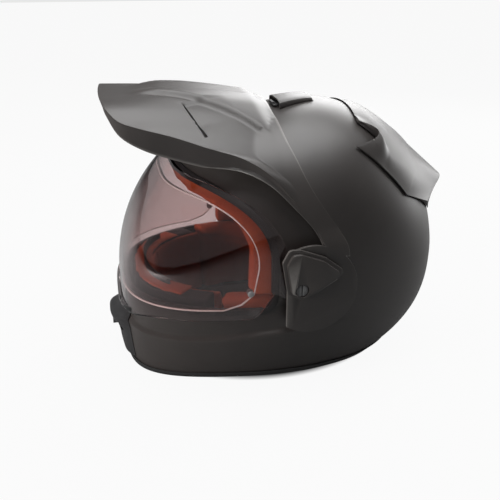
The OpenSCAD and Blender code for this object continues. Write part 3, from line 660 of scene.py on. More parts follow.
def bump(tree, shader, height, distance, strength=0.5):
    node = tree.nodes.new("ShaderNodeBump")
    node.inputs["Strength"].default_value = strength
    node.inputs["Distance"].default_value = distance
    tree.links.new(height, node.inputs["Height"])
    tree.links.new(node.outputs["Normal"], shader.inputs["Normal"])


def hard_finish(name, dark, light, worn, rough, grain_size=1500, depth=0.00004, metallic=0.0):
    """Moulded or painted finish: two tones, a worn edge tone, varying roughness and a fine grain."""
    material, tree, shader, place = new_material(name)
    grain = use_group(tree, grain_tree, place, Size=grain_size)
    mask = use_group(tree, wear_tree, place, Reach=12)["Mask"]
    base = two_tones(tree, grain["Mottle"], dark, light)
    tree.links.new(two_tones(tree, mask, base, worn), shader.inputs["Base Color"])
    tree.links.new(between(tree, grain["Mottle"], *rough), shader.inputs["Roughness"])
    shader.inputs["Metallic"].default_value = metallic
    bump(tree, shader, grain["Height"], depth)
    return material


def knit_finish(name, dark, light, stitch=620, depth=0.0004):
    """Brushed knit: two tones, a stitched relief and a soft sheen."""
    material, tree, shader, place = new_material(name)
    knit = use_group(tree, knit_tree, place, Stitch=stitch)
    tree.links.new(two_tones(tree, knit["Shade"], dark, light), shader.inputs["Base Color"])
    shader.inputs["Roughness"].default_value = 0.9
    shader.inputs["Sheen Weight"].default_value = 0.25
    shader.inputs["Sheen Tint"].default_value = (*light, 1)
    shader.inputs["Sheen Roughness"].default_value = 0.4
    bump(tree, shader, knit["Height"], depth, 0.6)
    return material


# %% Hard finishes
paint = hard_finish("charcoal_paint", (0.018, 0.015, 0.014), (0.03, 0.026, 0.024), (0.16, 0.15, 0.14),
                    (0.38, 0.48))
plastic = hard_finish("black_moulding", (0.012, 0.012, 0.013), (0.022, 0.021, 0.021), (0.07, 0.07, 0.07),
                      (0.45, 0.6))
rubber = hard_finish("edge_rubber", (0.01, 0.01, 0.01), (0.018, 0.017, 0.017), (0.04, 0.04, 0.04),
                     (0.5, 0.7), 900, 0.000003)
foam = hard_finish("bead_foam", (0.01, 0.01, 0.011), (0.02, 0.02, 0.022), (0.03, 0.03, 0.03),
                   (0.75, 0.9), 260, 0.0003)
grey = hard_finish("grey_moulding", (0.16, 0.16, 0.16), (0.22, 0.22, 0.22), (0.3, 0.3, 0.3), (0.35, 0.5))
steel = hard_finish("satin_steel", (0.5, 0.5, 0.5), (0.6, 0.6, 0.6), (0.75, 0.75, 0.75),
                    (0.25, 0.38), 2200, 0.00002, 1.0)
screw_finish = hard_finish("screw_finish", (0.05, 0.05, 0.05), (0.08, 0.08, 0.08), (0.3, 0.3, 0.3),
                           (0.32, 0.45))

# %% Cloth finishes
rust = knit_finish("rust_knit", (0.24, 0.045, 0.018), (0.46, 0.12, 0.05))
black_cloth = knit_finish("black_knit", (0.008, 0.008, 0.008), (0.02, 0.02, 0.02), 800)
webbing = knit_finish("webbing", (0.006, 0.006, 0.006), (0.018, 0.018, 0.018), 1100)


# %% [markdown]
# Clear plastic lets light through with a slight tint. A solid glass shader throws a dark shadow, because
# a renderer can't aim a shadow ray through a bend, so for shadow rays alone the sheet is taken as
# transparent. The real shield is clear enough for that.


# %% Clear finishes
def clear_finish(name, tint, rough):
    material, tree, shader, place = new_material(name)
    shader.inputs["Base Color"].default_value = (*tint, 1)
    shader.inputs["Transmission Weight"].default_value = 1
    shader.inputs["IOR"].default_value = 1.45
    shader.inputs["Specular IOR Level"].default_value = 0.1
    haze = use_group(tree, grain_tree, place, Size=60)
    tree.links.new(between(tree, haze["Mottle"], *rough), shader.inputs["Roughness"])
    shadow_ray = tree.nodes.new("ShaderNodeLightPath").outputs["Is Shadow Ray"]
    through = tree.nodes.new("ShaderNodeBsdfTransparent")
    through.inputs["Color"].default_value = (*tint, 1)
    mix_shaders(tree, shadow_ray, shader, through, tree.nodes["Material Output"])
    return material


silicone = hard_finish("clear_silicone", (0.55, 0.52, 0.5), (0.7, 0.67, 0.64), (0.8, 0.78, 0.75),
                       (0.3, 0.45), 900, 0.00002)
clear = clear_finish("clear_shield", (0.77, 0.69, 0.69), (0.0, 0.03))
clear_film = clear_finish("anti_fog_film", (0.86, 0.79, 0.78), (0.02, 0.06))
print("materials:", len(bpy.data.materials))

# %% [markdown]
# ## Outer shell
# On the real helmet this is a moulded composite bowl. A grid is wrapped round the form, with rows that
# follow the raised chin ridge, and it is given its wall. The eyeport, the two flat side seats and the
# vent holes are then cut, as a router does on the real moulding.


# %% Shell bowl
def bowl_level(q, a):
    """Height of the row at q from 0 at the rim to 1 at the crown."""
    b, r = rim_z(a), ridge_z(a)
    if q < 0.2:
        return mix(b, r - 3, q / 0.2)
    if q < 0.3:
        return mix(r - 3, r + 3, (q - 0.2) / 0.1)
    if q < 0.42:
        return mix(r + 3, WIDE_Z, (q - 0.3) / 0.12)
    return WIDE_Z + (CROWN_Z - WIDE_Z) * sin(90 * (q - 0.42) / 0.58)


def bowl(u, q):
    a = 360 * u
    return shell_pt(a, bowl_level(q, a)) if q < 1 else Vector((0, CROWN_Y, CROWN_Z))


shell = keep(thicken(outward(sheet(bowl, 176, 100), MIDDLE), WALL), "shell_bowl")


# %% Cutting the eyeport and the side seats
def side_arc(ry, rz, t0, t1, n):
    """Points of an arc about the centre of the eyeport's rear corner, in the side view."""
    turns = [mix(t0, t1, k / n) for k in range(n + 1)]
    return [(ARC_Y + ry * cos(t), ARC_Z + rz * sin(t)) for t in turns]


def port_upper(g, n):
    return side_arc(PORT_REAR - ARC_Y + g, PORT_TOP - ARC_Z + g, 0, 90, n)


def port_lower(g, n):
    return [(PORT_REAR - CORNER_R + (CORNER_R + g) * cos(t), PORT_LOW + CORNER_R + (CORNER_R + g) * sin(t))
            for t in (-90 + 90 * k / n for k in range(n + 1))]


def port_outline(g):
    return [(AHEAD, PORT_LOW - g)] + port_lower(g, 12) + port_upper(g, 48) + [(AHEAD, PORT_TOP + g)]


SEAT_X, PIVOT_Y, PIVOT_Z, DISC_Y, DISC_Z, DISC_R = HALF_W - 1.5, 6, 112, 17, 109, 41.5
SCREW_HOLE_R, CHIN_HOLE_W, CHIN_HOLE_H, CHIN_HOLE_Z = 3.1, 44, 16, 36
CROWN_SLOT_L, CROWN_SLOT_W, CROWN_SLOT_STEP, CROWN_SLOT_Y = 18, 3.4, 6.8, 16.7
boolean(shell, prism(port_outline(0)))
for s in (1, -1):
    boolean(shell, rod(DISC_R + 1, 20, along_x(DISC_Y, DISC_Z, s * (SEAT_X + 10)), 96))
    boolean(shell, rod(SCREW_HOLE_R, 60, along_x(PIVOT_Y, PIVOT_Z, s * 110), 32))
boolean(shell, block((CHIN_HOLE_W, 60, CHIN_HOLE_H), at(0, -155, CHIN_HOLE_Z)))
for k in (0, 1):
    slot_y = CROWN_SLOT_Y + CROWN_SLOT_STEP * k
    boolean(shell, block((CROWN_SLOT_L, CROWN_SLOT_W, 40), at(0, slot_y, 250)))


# %% Cutting the exhaust holes
EXHAUST_X, EXHAUST_Y, EXHAUST_Z, EXHAUST_R, EXHAUST_TILT = 66, 92, 230, 6, -32.5


def exhaust(s):
    """Placing matrix of the exhaust axis on side s, out through the shell."""
    reach = (snap((EXHAUST_X, EXHAUST_Y, EXHAUST_Z), 0) - CORE).length
    lean = Matrix.Rotation(math.atan2(EXHAUST_X, EXHAUST_Z - WIDE_Z), 4, "Y")
    return Matrix.Scale(s, 4, (1, 0, 0)) @ at(*CORE) @ lean @ turned(EXHAUST_TILT, "X") @ at(0, 0, reach)


for s in (1, -1):
    boolean(shell, edited(rod(EXHAUST_R, 40, exhaust(s), 48), face_out))
finish_piece(smooth(shell), paint, "outer_shell")

# %% [markdown]
# ## Bottom trim and eyeport gasket
# Both are extruded rubber profiles pressed over the shell's edge. A closed sheet carries the profile's
# corners round the edge, and a small bevel takes the sharpness off the rubber.


# %% Bottom trim
def closed_profile(profile, around, count):
    """A ring swept from a list of profile points, each given to around(u, point)."""
    n = len(profile)
    return sheet(lambda u, v: around(u % 1, profile[round(v * n) % n]), count, n)


TRIM, GAP, REACH = 1.2, 0.3, 4
trim_profile = [(-GAP, REACH), (-GAP - TRIM, REACH), (-GAP - TRIM, -GAP - TRIM),
                (WALL + GAP + TRIM, -GAP - TRIM), (WALL + GAP + TRIM, REACH), (WALL + GAP, REACH),
                (WALL + GAP, -GAP), (-GAP, -GAP)]


def trim_point(u, corner):
    a = 360 * u
    return shell_pt(a, rim_z(a) + corner[1], every(corner[0]))


trim = keep(closed_profile(trim_profile, trim_point, 176), "bottom_trim")
finish_piece(smooth(soften(trim, 0.4)), rubber, "base_trim")


# %% Eyeport gasket
def port_z(y, s):
    e = (y - ARC_Y) / (PORT_REAR - ARC_Y + s)
    return ARC_Z + (PORT_TOP - ARC_Z + s) * (1 if e < 0 else lobe(e, 2))


def gasket_edge(k, s, i):
    """Point k (0 to 37) of the left half of the eyeport's edge, s away from it and inset by i."""
    v = every(i)
    if k <= 13:
        return shell_pt(6 * k, PORT_LOW - s, v)
    if k >= 29:
        z = PORT_TOP
        for _ in range(7):
            p = shell_pt(7 * (37 - k), z, v)
            z = port_z(p[1], s)
        return p
    if k < 14:
        return gasket_edge(13, s, i).lerp(gasket_edge(14, s, i), k - 13)
    if k <= 17:
        t = -90 + 30 * (k - 14)
        y, z = PORT_REAR - CORNER_R + (CORNER_R + s) * cos(t), PORT_LOW + CORNER_R + (CORNER_R + s) * sin(t)
    elif k < 18:
        return gasket_edge(17, s, i).lerp(gasket_edge(18, s, i), k - 17)
    elif k <= 28:
        t = 90 * (k - 18) / 16
        y, z = ARC_Y + (PORT_REAR - ARC_Y + s) * cos(t), ARC_Z + (PORT_TOP - ARC_Z + s) * sin(t)
    else:
        return gasket_edge(28, s, i).lerp(gasket_edge(29, s, i), k - 28)
    return Vector((surf_x(y, z, v), y, z))


gasket_profile = [(-2.6, 3.5), (-2.6, -1.1), (3.5, -1.1), (3.5, -0.3), (-0.5, -0.3), (-0.5, 3.5)]


def gasket_point(u, corner):
    k = (u * 74 + 37) % 74 - 37
    p = gasket_edge(abs(k), *corner)
    return Vector((side_of(k) * p[0], p[1], p[2]))


gasket = keep(closed_profile(gasket_profile, gasket_point, 222), "eyeport_seal")
finish_piece(smooth(soften(gasket, 0.3)), rubber, "eyeport_gasket")

# %% [markdown]
# ## Shield, insert and their pins
# The clear shield is part of a drum turned about a cross axis. Two nested drums make its wall, and the
# side outline cuts it, with its round arm ends, hub holes and pin holes. The insert behind it is made in
# the same way, with a thicker bead of silicone round its edge. A rolled lip to lift the shield by runs
# along the front of its lower edge.

# %% Drum
SHIELD_REACH, SHIELD_HALF, SHIELD_Y, SHIELD_Z, SHIELD_N = 168, 123, 22, 78, 3.2
SHIELD_WALL, FOG_GAP, FOG_WALL, HUB_R, ARM_R = 2, 0.4, 1, 9, 17
PIN_Y, PIN_Z, PIN_R, PLAY = -37, 108, 1.5, 0.08
FOG_IN = SHIELD_WALL + FOG_GAP


def drum(i):
    """Closed surface of the shield's form, inset by i."""
    def place(u, v):
        t, turn = 180 * v, 360 * u
        r = (SHIELD_REACH - i) * sin(t) ** (2 / SHIELD_N) if 0 < v < 1 else 0
        x = (SHIELD_HALF - i) * side_of(cos(t)) * abs(cos(t)) ** (2 / SHIELD_N)
        return Vector((x, SHIELD_Y - r * cos(turn), SHIELD_Z + r * sin(turn)))
    return outward(sheet(place, 160, 120), (0, SHIELD_Y, SHIELD_Z))


# %% Clear shield
REAR_LAP, TOP_LAP = 10, 4
shield_line = ([(AHEAD, 65), (-146.5, 65), (-144, 67), (-139, 71), (-130, 76.5), (-121, 80), (-110, 81.5),
                (-36, 83), (-30, 86), (-16, 106), (PIVOT_Y, PIVOT_Z - ARM_R), (PIVOT_Y, PIVOT_Z)]
               + side_arc(PORT_REAR - ARC_Y + REAR_LAP, PORT_TOP - ARC_Z + TOP_LAP, 6, 90, 40)
               + [(AHEAD, PORT_TOP + TOP_LAP)])
visor = nested(drum(0), drum(SHIELD_WALL), "visor")
side_cut = boolean(prism(shield_line), rod(ARM_R, 400, along_x(PIVOT_Y, PIVOT_Z), 96), "UNION")
boolean(visor, side_cut, "INTERSECT")
boolean(visor, rod(HUB_R + PLAY, 400, along_x(PIVOT_Y, PIVOT_Z), 64))
boolean(visor, rod(PIN_R + PLAY, 400, along_x(PIN_Y, PIN_Z), 32))
soften(visor, 0.35, 60)
LIP_HALF, LIP_LOW, LIP_HIGH, LIP_OUT = 66, 65.3, 71.5, 3.4


def lip(stand_out):
    """One side of the rolled lip: across the front at u, up the shield at v."""
    def place(u, v):
        x = mix(-LIP_HALF, LIP_HALF, u)
        z = mix(LIP_LOW, LIP_HIGH, v) + 6 * (x / LIP_HALF) ** 2
        reach = SHIELD_REACH * lobe(x / SHIELD_HALF, SHIELD_N)
        out = stand_out(v) * (1 - abs(x / LIP_HALF) ** 6)
        return Vector((x, SHIELD_Y - math.sqrt(reach ** 2 - (z - SHIELD_Z) ** 2) - out, z))
    return place


roll_out = between_sheets(lip(lambda v: 0.05 + LIP_OUT * max(0, sin(180 * v)) ** 0.7),
                          lip(lambda v: -0.8), 96, 12)
boolean(visor, keep(roll_out, "thumb_lip"), "UNION")
finish_piece(smooth(visor, 35), clear, "face_shield")


# %% Insert and its bead
def fog_line(g):
    low = PORT_LOW + 3.2 + g
    return ([(AHEAD, low), (-60, low + 2), (-44 - g, low + 7), (-33 - g, PIN_Z - 2)]
            + side_arc(70 - g, 56 - g, -6, 90, 36) + [(AHEAD, ARC_Z + 56 - g)])


film = boolean(nested(drum(FOG_IN), drum(FOG_IN + FOG_WALL), "fog_film"), prism(fog_line(0)), "INTERSECT")
boolean(film, rod(PIN_R + 2 * PLAY, 400, along_x(PIN_Y, PIN_Z), 32))
finish_piece(smooth(film, 35), clear_film, "fog_insert")
bead_cut = boolean(prism(fog_line(0.3)), prism(fog_line(1.1), -210, 210))
bead = boolean(nested(drum(2.2), drum(3.9), "fog_bead"), bead_cut, "INTERSECT")
finish_piece(smooth(bead, 35), silicone, like="fog_insert")

# %% Small hard pieces
small_pieces = (("insert_pins", grey, 0.3), ("pod_screws", screw_finish, 0.25), ("d_ring_front", steel, 0),
                ("d_ring_rear", steel, 0), ("strap_rivets", steel, 0.2), ("shield_base_left", plastic, 0.2),
                ("shield_base_right", plastic, 0.2), ("chin_vent_shutter", plastic, 0.3),
                ("chin_vent_mesh", plastic, 0.2), ("rear_vent_mesh", plastic, 0.15),
                ("top_vent_slider", plastic, 0.2))
for node, finish, width in small_pieces:
    finish_piece(copy_of(node, node + "_finished", width), finish, node)

# %% [markdown]
# ## Peak
# The peak is one moulding: a curved blade, a turned-down skirt along its front and side edges, a raised
# centre field between two creases, and an arm on each side that ends in a disc behind the pod. A sheet
# is laid on the blade and its skirt, thickened, creased and cut.

# %% Blade
ARM_PLATE_X, ARM_WALL = SHIELD_HALF + 0.3, 2.8
SIDE_X = ARM_PLATE_X + ARM_WALL - 0.2
PEAK_WALL = 2.8
peak_front = [(0, -153, 265), (25, -152.5, 265), (45, -151, 264.5), (60, -148, 261), (74, -138, 252.5),
              (82, -119, 247), (87, -96, 241), (94, -68, 232), (101, -39, 223), (109, -17, 209),
              (116, 2, 187), (121.5, 19, 165), (SIDE_X, 27, 149), (SIDE_X, 30, 138)]
peak_rear = [(0, 0, 253.5), (16, 0, 253), (32, 0, 250), (46, 1, 244.5), (60, 1.5, 238), (72, 2.5, 230),
             (82, 4.5, 222), (92, 9, 210), (102, 14, 199), (111, 21, 188), (118, 31, 174),
             (122.5, 41, 161), (SIDE_X, 48, 148), (SIDE_X, 50, 138)]


def shield_side(p, i, t):
    """Below zero where p is inside the shield grown by i and opened by t degrees."""
    y, z = p[1] - PIVOT_Y, p[2] - PIVOT_Z
    swung = math.hypot(y * cos(t) - z * sin(t) + PIVOT_Y - SHIELD_Y,
                       z * cos(t) + y * sin(t) + PIVOT_Z - SHIELD_Z)
    return (abs(p[0]) / (SHIELD_HALF + i)) ** SHIELD_N + (swung / (SHIELD_REACH + i)) ** SHIELD_N - 1


def free(p, i):
    return outside(p, every(-i)) > 0 and min(shield_side(p, i, t) for t in range(0, 45, 5)) > 0


def lift(p, i):
    """Moves a point of the peak outwards until it clears the shell and the opening shield."""
    return p if free(p, i) else seek(p - CORE, lambda q: free(q, i), 1, 1.3, 12)


def crease_x(y):
    return track((22, 26, 34, 48, 66, 92), (y + 140) / 145)


SLOT_X, SLOT_Y, SLOT_TURN, SLOT_L, SLOT_W = 65, -74, 20, 41, 3.2


def recess(p):
    """Depth of the hollow behind the slot, deepest at the slot and at its inner end."""
    dx, dy = p[0] - SLOT_X, p[1] - SLOT_Y
    along = dx * cos(SLOT_TURN) + dy * sin(SLOT_TURN)
    behind = dy * cos(SLOT_TURN) - dx * sin(SLOT_TURN)
    if behind < -1:
        return 0
    ends = ease(-SLOT_L / 2 - 2.5, -SLOT_L / 2 + 1, along) * ease(SLOT_L / 2, 2, along)
    return 3.2 * max(0, 1 - behind / 38) * ends


def blade(u, s):
    """Top of the blade at u from the centre to the arm and s from the front edge to the rear edge."""
    p = curve(peak_front, u).lerp(curve(peak_rear, u), s)
    rear_fade = ease(1, 0.88, s)
    raised = 4.5 * min(1, max(0, (crease_x(p[1]) - p[0]) / 4)) * ease(-132, -95, p[1])
    valley = 3 * max(0, 1 - p[0] / 15) * ease(-132, -95, p[1])
    p[2] += 5 * (1 - u) * sin(180 * s) + (raised - valley) * rear_fade - recess(p) * rear_fade
    return lift(p, PEAK_WALL + 0.6)


EDGE_R, SKIRT_ROWS, ARC_ROWS, BLADE_ROWS, PEAK_COLS = 0.9, 6, 4, 56, 220
UNDER_ROW = SKIRT_ROWS + 2
PEAK_ROWS = SKIRT_ROWS + ARC_ROWS + BLADE_ROWS


def skirt_depth(u):
    return track((4, 4, 4.5, 7, 13, 19, 21, 19, 15, 11, 7, 4, 2.5, 2), u)


def skirt(u, share):
    """The skirt at a share of its depth under the edge."""
    d = share * skirt_depth(u)
    w = ease(0.1, 0.35, u)
    return lift(blade(u, 0) + Vector((-d * 0.35 * ease(0, 0.5, u), d * 0.3 * (1 - w), -d)), PEAK_WALL + 0.6)


def strip(u):
    return (curve(peak_rear, u) - curve(peak_front, u)).length


def peak_top(u, row):
    """Outside of the peak: up the skirt, round its edge in a small arc, and back over the blade."""
    low = min(0.6, EDGE_R / skirt_depth(u))
    back = EDGE_R / strip(u)
    if row < SKIRT_ROWS:
        return skirt(u, mix(1, low, row / SKIRT_ROWS))
    if row < SKIRT_ROWS + ARC_ROWS:
        t = (row - SKIRT_ROWS) / ARC_ROWS
        return skirt(u, low) * (1 - t) ** 2 + blade(u, 0) * 2 * t * (1 - t) + blade(u, back) * t * t
    return blade(u, mix(back, 1, ((row - SKIRT_ROWS - ARC_ROWS) / BLADE_ROWS) ** 1.1))


def peak_under(u, row):
    """Inside of the peak, a wall away: up behind the skirt, and back under the blade."""
    start = 1.2 * PEAK_WALL / strip(u)
    du = blade(min(1, u + 0.01), 0.4) - blade(max(0, u - 0.01), 0.4)
    n = du.cross(blade(u, 0.6) - blade(u, 0.3)).normalized()
    if row >= UNDER_ROW:
        s = mix(start, 1, ((row - UNDER_ROW) / (PEAK_ROWS - UNDER_ROW)) ** 1.1)
        return lift(blade(u, s) - n * PEAK_WALL, 0.6)
    w = ease(0.1, 0.35, u)
    foot = lift(skirt(u, 1) + Vector((-w, 1 - w, 0)) * PEAK_WALL, 0.6)
    return foot.lerp(lift(blade(u, start) - n * PEAK_WALL, 0.6), row / UNDER_ROW)


def both_sides(face):
    """Mirrors a half that is given from the centre at 0 to the side at 1."""
    def place(u, v):
        p = face(abs(2 * u - 1), v)
        return Vector((side_of(2 * u - 1) * p[0], p[1], p[2]))
    return place


def closer(u):
    """Sets the columns closer together towards the centre, where the creases are."""
    return u ** 1.35


peak = keep(between_sheets(both_sides(lambda u, v: peak_top(closer(u), round(v * PEAK_ROWS))),
                           both_sides(lambda u, v: peak_under(closer(u), round(v * PEAK_ROWS))),
                           PEAK_COLS, PEAK_ROWS), "peak_moulding")
print("peak blade:", len(peak.data.polygons), "faces")


# %% Arms, slots and rims
def disc_outline(r, front):
    """Round arm end in the side view, cut straight at its front edge."""
    steps = [(DISC_Y + r * cos(t), DISC_Z + r * sin(t)) for t in range(-180, 180, 3)]
    return [p for p in steps if p[0] > front]


for s in (1, -1):
    slot_place = at(s * SLOT_X, SLOT_Y, 250) @ turned(s * SLOT_TURN, "Z")
    boolean(peak, block((SLOT_L, SLOT_W, 60), slot_place))
    arm = prism(disc_outline(DISC_R, -7), s * ARM_PLATE_X, s * (ARM_PLATE_X + ARM_WALL))
    boolean(arm, rod(SCREW_HOLE_R, 60, along_x(PIVOT_Y, PIVOT_Z, s * 120), 32))
    rim = prism(disc_outline(DISC_R - 0.01, 4), s * (SEAT_X + 0.6), s * (ARM_PLATE_X + 1))
    boolean(rim, rod(DISC_R - 2.4, 60, along_x(DISC_Y, DISC_Z, s * 110), 96))
    behind_disc = [(-60, 40), (0, 40), (10, 100), (DISC_Y, DISC_Z), (80, 175), (-60, 175)]
    boolean(rim, prism(behind_disc, s * 100, s * 140))
    boolean(peak, soften(arm, 0.5, 40), "UNION")
    join(peak, soften(rim, 0.3, 40))
print("peak with arms:", len(peak.data.polygons), "faces")
finish_piece(smooth(peak), paint, "peak")

# %% [markdown]
# ## Side pods
# A thin flange follows the pod's outline, and a smaller raised face stands on it, as the real moulding
# has it. The screw sits in a round well. The merged copy of the solid has its edges rounded.

# %% Pods
for side in ("left", "right"):
    pod = copy_of("side_pod_" + side, "side_pod_" + side + "_finished", 0.7, 30)
    finish_piece(pod, paint, "side_pod_" + side)

# %% [markdown]
# ## Rear spoiler
# The spoiler is a separate shell over the back of the crown. Its front edge dips between two horns on
# each side, where air leaves, and a crease runs back to a blunt tail. The sheet goes from the front edge
# over the crease to the tail and turns under it.

# %% Spoiler
SPOILER_HALF, SCALLOP_X = 78, 52
SCALLOP_W = SPOILER_HALF - SCALLOP_X


def spoiler_front(x):
    if x < SCALLOP_X:
        return mix(80, 76, x / SCALLOP_X)
    t = min(1, (x - SCALLOP_X) / SCALLOP_W)
    return mix(76, 68, t) + 21 * max(0, sin(180 * t)) ** 0.8


def scallop(x):
    return max(0, sin(180 * min(1, max(0, (x - SCALLOP_X) / SCALLOP_W))))


def spoiler(x, s):
    """Point of the spoiler at half width x: front edge at s 0, over the tail at 1.5, underside at 2."""
    q = x / SPOILER_HALF
    rise = 4.5 * scallop(x)
    stand = mix(4, 2.2, ease(0.75, 1, q))
    front = min(stand, mix(1.6, 4, ease(38, SCALLOP_X, x)))
    a = snap((x, spoiler_front(x), mix(246, 222, q * q)), -front - rise)
    mid = snap(curve([(0, 118, 232), (40, 112, 222), (66, 104, 210), (84, 96, 200)], q), -stand)
    low_line = [(0, 150, 212), (38, 144, 202), (58, 134, 190), (84, 121, 176)]
    low = snap(curve(low_line, q), -stand - 3 * (1 - q))
    tip = curve([(0, 187, 171), (14, 185, 169), (34, 170, 164), (62, 150, 160)], q)
    if s < 1:
        flat = a.lerp(mid, s * 2) if s < 0.5 else mid.lerp(low, (s - 0.5) * 2)
        out = mix(front, stand, ease(0, 0.2, s)) + rise * ease(0.45, 0.1, s) + 3 * (1 - q) * ease(0.5, 1, s)
        return snap(flat, -out) if s < 0.96 else flat
    if s < 1.5:
        return low.lerp(tip, (s - 1) * 2)
    return tip.lerp(snap((x * 0.62, 160, 148), -1.6), (s - 1.5) * 2)


def spoiler_top(u, v):
    return spoiler(u * SPOILER_HALF, 2 * v)


def spoiler_under(u, v):
    """Underside: on the shell, but drawn up under the lip of the scallop, which leaves a dark mouth."""
    open_share = min(1, 1.6 * scallop(u * SPOILER_HALF)) * ease(0.12, 0.06, v)
    return snap(spoiler_top(u, v), -1.1 - (1.6 + 4.5 * scallop(u * SPOILER_HALF)) * open_share)


spoiler_form = between_sheets(both_sides(spoiler_top), both_sides(spoiler_under), 128, 48)
spoiler_piece = keep(spoiler_form, "tail_spoiler")
soften(spoiler_piece, 0.8, 50, 3)
finish_piece(smooth(spoiler_piece, 28), paint, "rear_spoiler")

# %% [markdown]
# ## Chin vent housing and crown scoop
# Both are thin mouldings that stand on the shell. The housing is a beak with a window for the shutter's
# nub and an intake on each side. The scoop on the crown is open in front and runs out to the rear.

# %% Chin housing
CHIN_W = 74
chin_profile = [(7.5, 5.5), (12, 6), (20, 6.7), (29, 7), (36, 9), (42, 13), (47, 14.5), (54, 8), (59, 3)]


def chin_out(z, t):
    """How far the beak stands out at height z, at t from -1 to 1 across it."""
    k = min(len(chin_profile) - 2, max(0, sum(q[0] <= z for q in chin_profile) - 1))
    (z0, o0), (z1, o1) = chin_profile[k], chin_profile[k + 1]
    return mix(o0, o1, (z - z0) / (z1 - z0)) * (1 - abs(t) ** 4)


def chin_pt(t, z, i):
    x = CHIN_W / 2 * mix(0.72, 1, ease(57, 38, z)) * t
    b = ridge_add(20, z)
    return Vector((x, mid_y(z, NONE) - (front_l(z, NONE) + b) * lobe(x / (half_w(z, NONE) + b), 2.5) - i, z))


beak_z = [mix(chin_profile[k][0], chin_profile[k + 1][0], j / 4) for k in range(8) for j in range(4)] + [59]


def beak(u, v):
    t, z = 2 * u - 1, beak_z[round(v * 32)]
    return chin_pt(t, z, max(0.6, chin_out(z, t)))


housing = keep(thicken(outward(sheet(beak, 56, 32), (0, -60, 35)), 1.6), "chin_vent_beak")
NUB_W, NUB_H, WINDOW_Z, TRAVEL = 12, 4, 30.7, 7
window_h = NUB_H + TRAVEL + 0.6
boolean(housing, block((NUB_W + 0.6, 60, window_h), at(0, -160, WINDOW_Z + window_h / 2)))
for s in (1, -1):
    boolean(housing, block((17, 60, 9), at(s * 23, -160, 36) @ turned(s * 20, "Z") @ turned(-s * 12, "Y")))
soften(housing, 0.5, 40)
finish_piece(smooth(housing, 24), plastic, "chin_vent_housing")


# %% Crown scoop
def scoop(u, v):
    """The scoop's skin: u runs across it, v from the open mouth at 0 to the rear at 1."""
    t = 1 - 2 * u
    height = mix(7, 3.4, v) * (1 - 0.35 * abs(t) ** 4) * ease(1, 0.9, abs(t)) ** 0.5 * ease(1.02, 0.93, v)
    return snap((mix(24, 16, v) * t, mix(11, 47, v), 262 - 6 * v), -max(0.5, height))


cover = keep(thicken(outward(sheet(scoop, 60, 36), (0, 30, 200)), 1.4), "crown_scoop")
soften(cover, 0.35, 45)
finish_piece(smooth(cover, 28), paint, "top_vent_cover")

# %% [markdown]
# ## Foam inside
# The crown liner and the chin liner are moulded bead foam. Both are thick sheets between two depths of
# the shell's form, so they are laid on the outer depth and thickened inwards.


# %% Foam liners
def dome(v, low):
    """Closed cap over the crown at the depth v, down to the height low(a)."""
    def place(u, q):
        a = 360 * u
        b = low(a)
        z = b + (CROWN_Z - v[3] - b) * sin(90 * q)
        return shell_pt(a, z, v) if q < 1 else Vector((0, CROWN_Y, CROWN_Z - v[3]))
    return place


def lined(name, v0, v1, low, grow, cols=96, rows=40):
    """A thick dome between two depths, cut back at the eyeport's edge grown by grow, if that is given."""
    outer, inner = (outward(sheet(dome(v, low), cols, rows), MIDDLE) for v in (v0, v1))
    piece = edited(nested(outer, inner, name), bridge)
    if grow is None:
        return piece
    outline = [(AHEAD, 0), (PORT_REAR + grow, 0)] + port_upper(grow, 32) + [(AHEAD, PORT_TOP + grow)]
    return boolean(piece, prism(outline))


LINER_IN = 28 + WALL
CAVITY = (LINER_IN, LINER_IN, LINER_IN + 14, LINER_IN + 4)
liner = lined("crown_liner", every(WALL + 1.2), CAVITY, lambda a: mix(102, 46, ease(120, 150, fold(a))), 4)
finish_piece(smooth(soften(liner, 1.2, 45), 40), foam, "eps_liner")


def wall_block(v0, v1, a0, a1, low, high, cols, rows):
    """A thick curved block between two depths, over plan angles a0 to a1."""
    def face(v):
        return lambda u, q: shell_pt(mix(a0, a1, u), mix(low, high, q), v)
    return between_sheets(face(v0), face(v1), cols, rows)


chin_foam = keep(wall_block(every(WALL + 6), every(WALL + 24), -58, 58, 12, 93, 48, 24), "chin_foam")
finish_piece(smooth(soften(chin_foam, 2.5, 45), 40), foam, "chin_liner")

# %% [markdown]
# ## Padded lining
# The pads are foam under knit, sewn shut at their edges. Each starts a little smaller than its solid, is
# remeshed into even cells and blown up by a short cloth run, which crowns the face and pulls in the
# sides as filling does. How far a point may move is capped, so that the pad keeps to its own room.


# %% Puffing a pad
def puff(piece, voxel, cap, floor_z=None):
    remesh = piece.modifiers.new("remesh", "REMESH")
    remesh.mode = "VOXEL"
    remesh.voxel_size = voxel * MM
    apply_modifiers(piece)
    cloth = piece.modifiers.new("cloth", "CLOTH")
    cloth.settings.use_pressure = True
    cloth.settings.uniform_pressure_force = 4
    cloth.settings.effector_weights.gravity = 0
    cloth.point_cache.frame_end = 20
    for frame_number in range(1, 21):
        scene.frame_set(frame_number)
    blown = piece.evaluated_get(bpy.context.evaluated_depsgraph_get())
    moved = [v.co.copy() for v in blown.data.vertices]
    piece.modifiers.clear()
    scene.frame_set(1)
    for vert, co in zip(piece.data.vertices, moved):
        step = co - vert.co
        vert.co += step * min(1, cap * MM / max(step.length, 1e-9))
    if floor_z is not None:
        for vert in piece.data.vertices:
            vert.co.z = max(vert.co.z, floor_z * MM)
    smooth_out = piece.modifiers.new("smooth", "SUBSURF")
    smooth_out.levels = smooth_out.render_levels = 1
    apply_modifiers(piece)
    for face in piece.data.polygons:
        face.use_smooth = True
    return piece


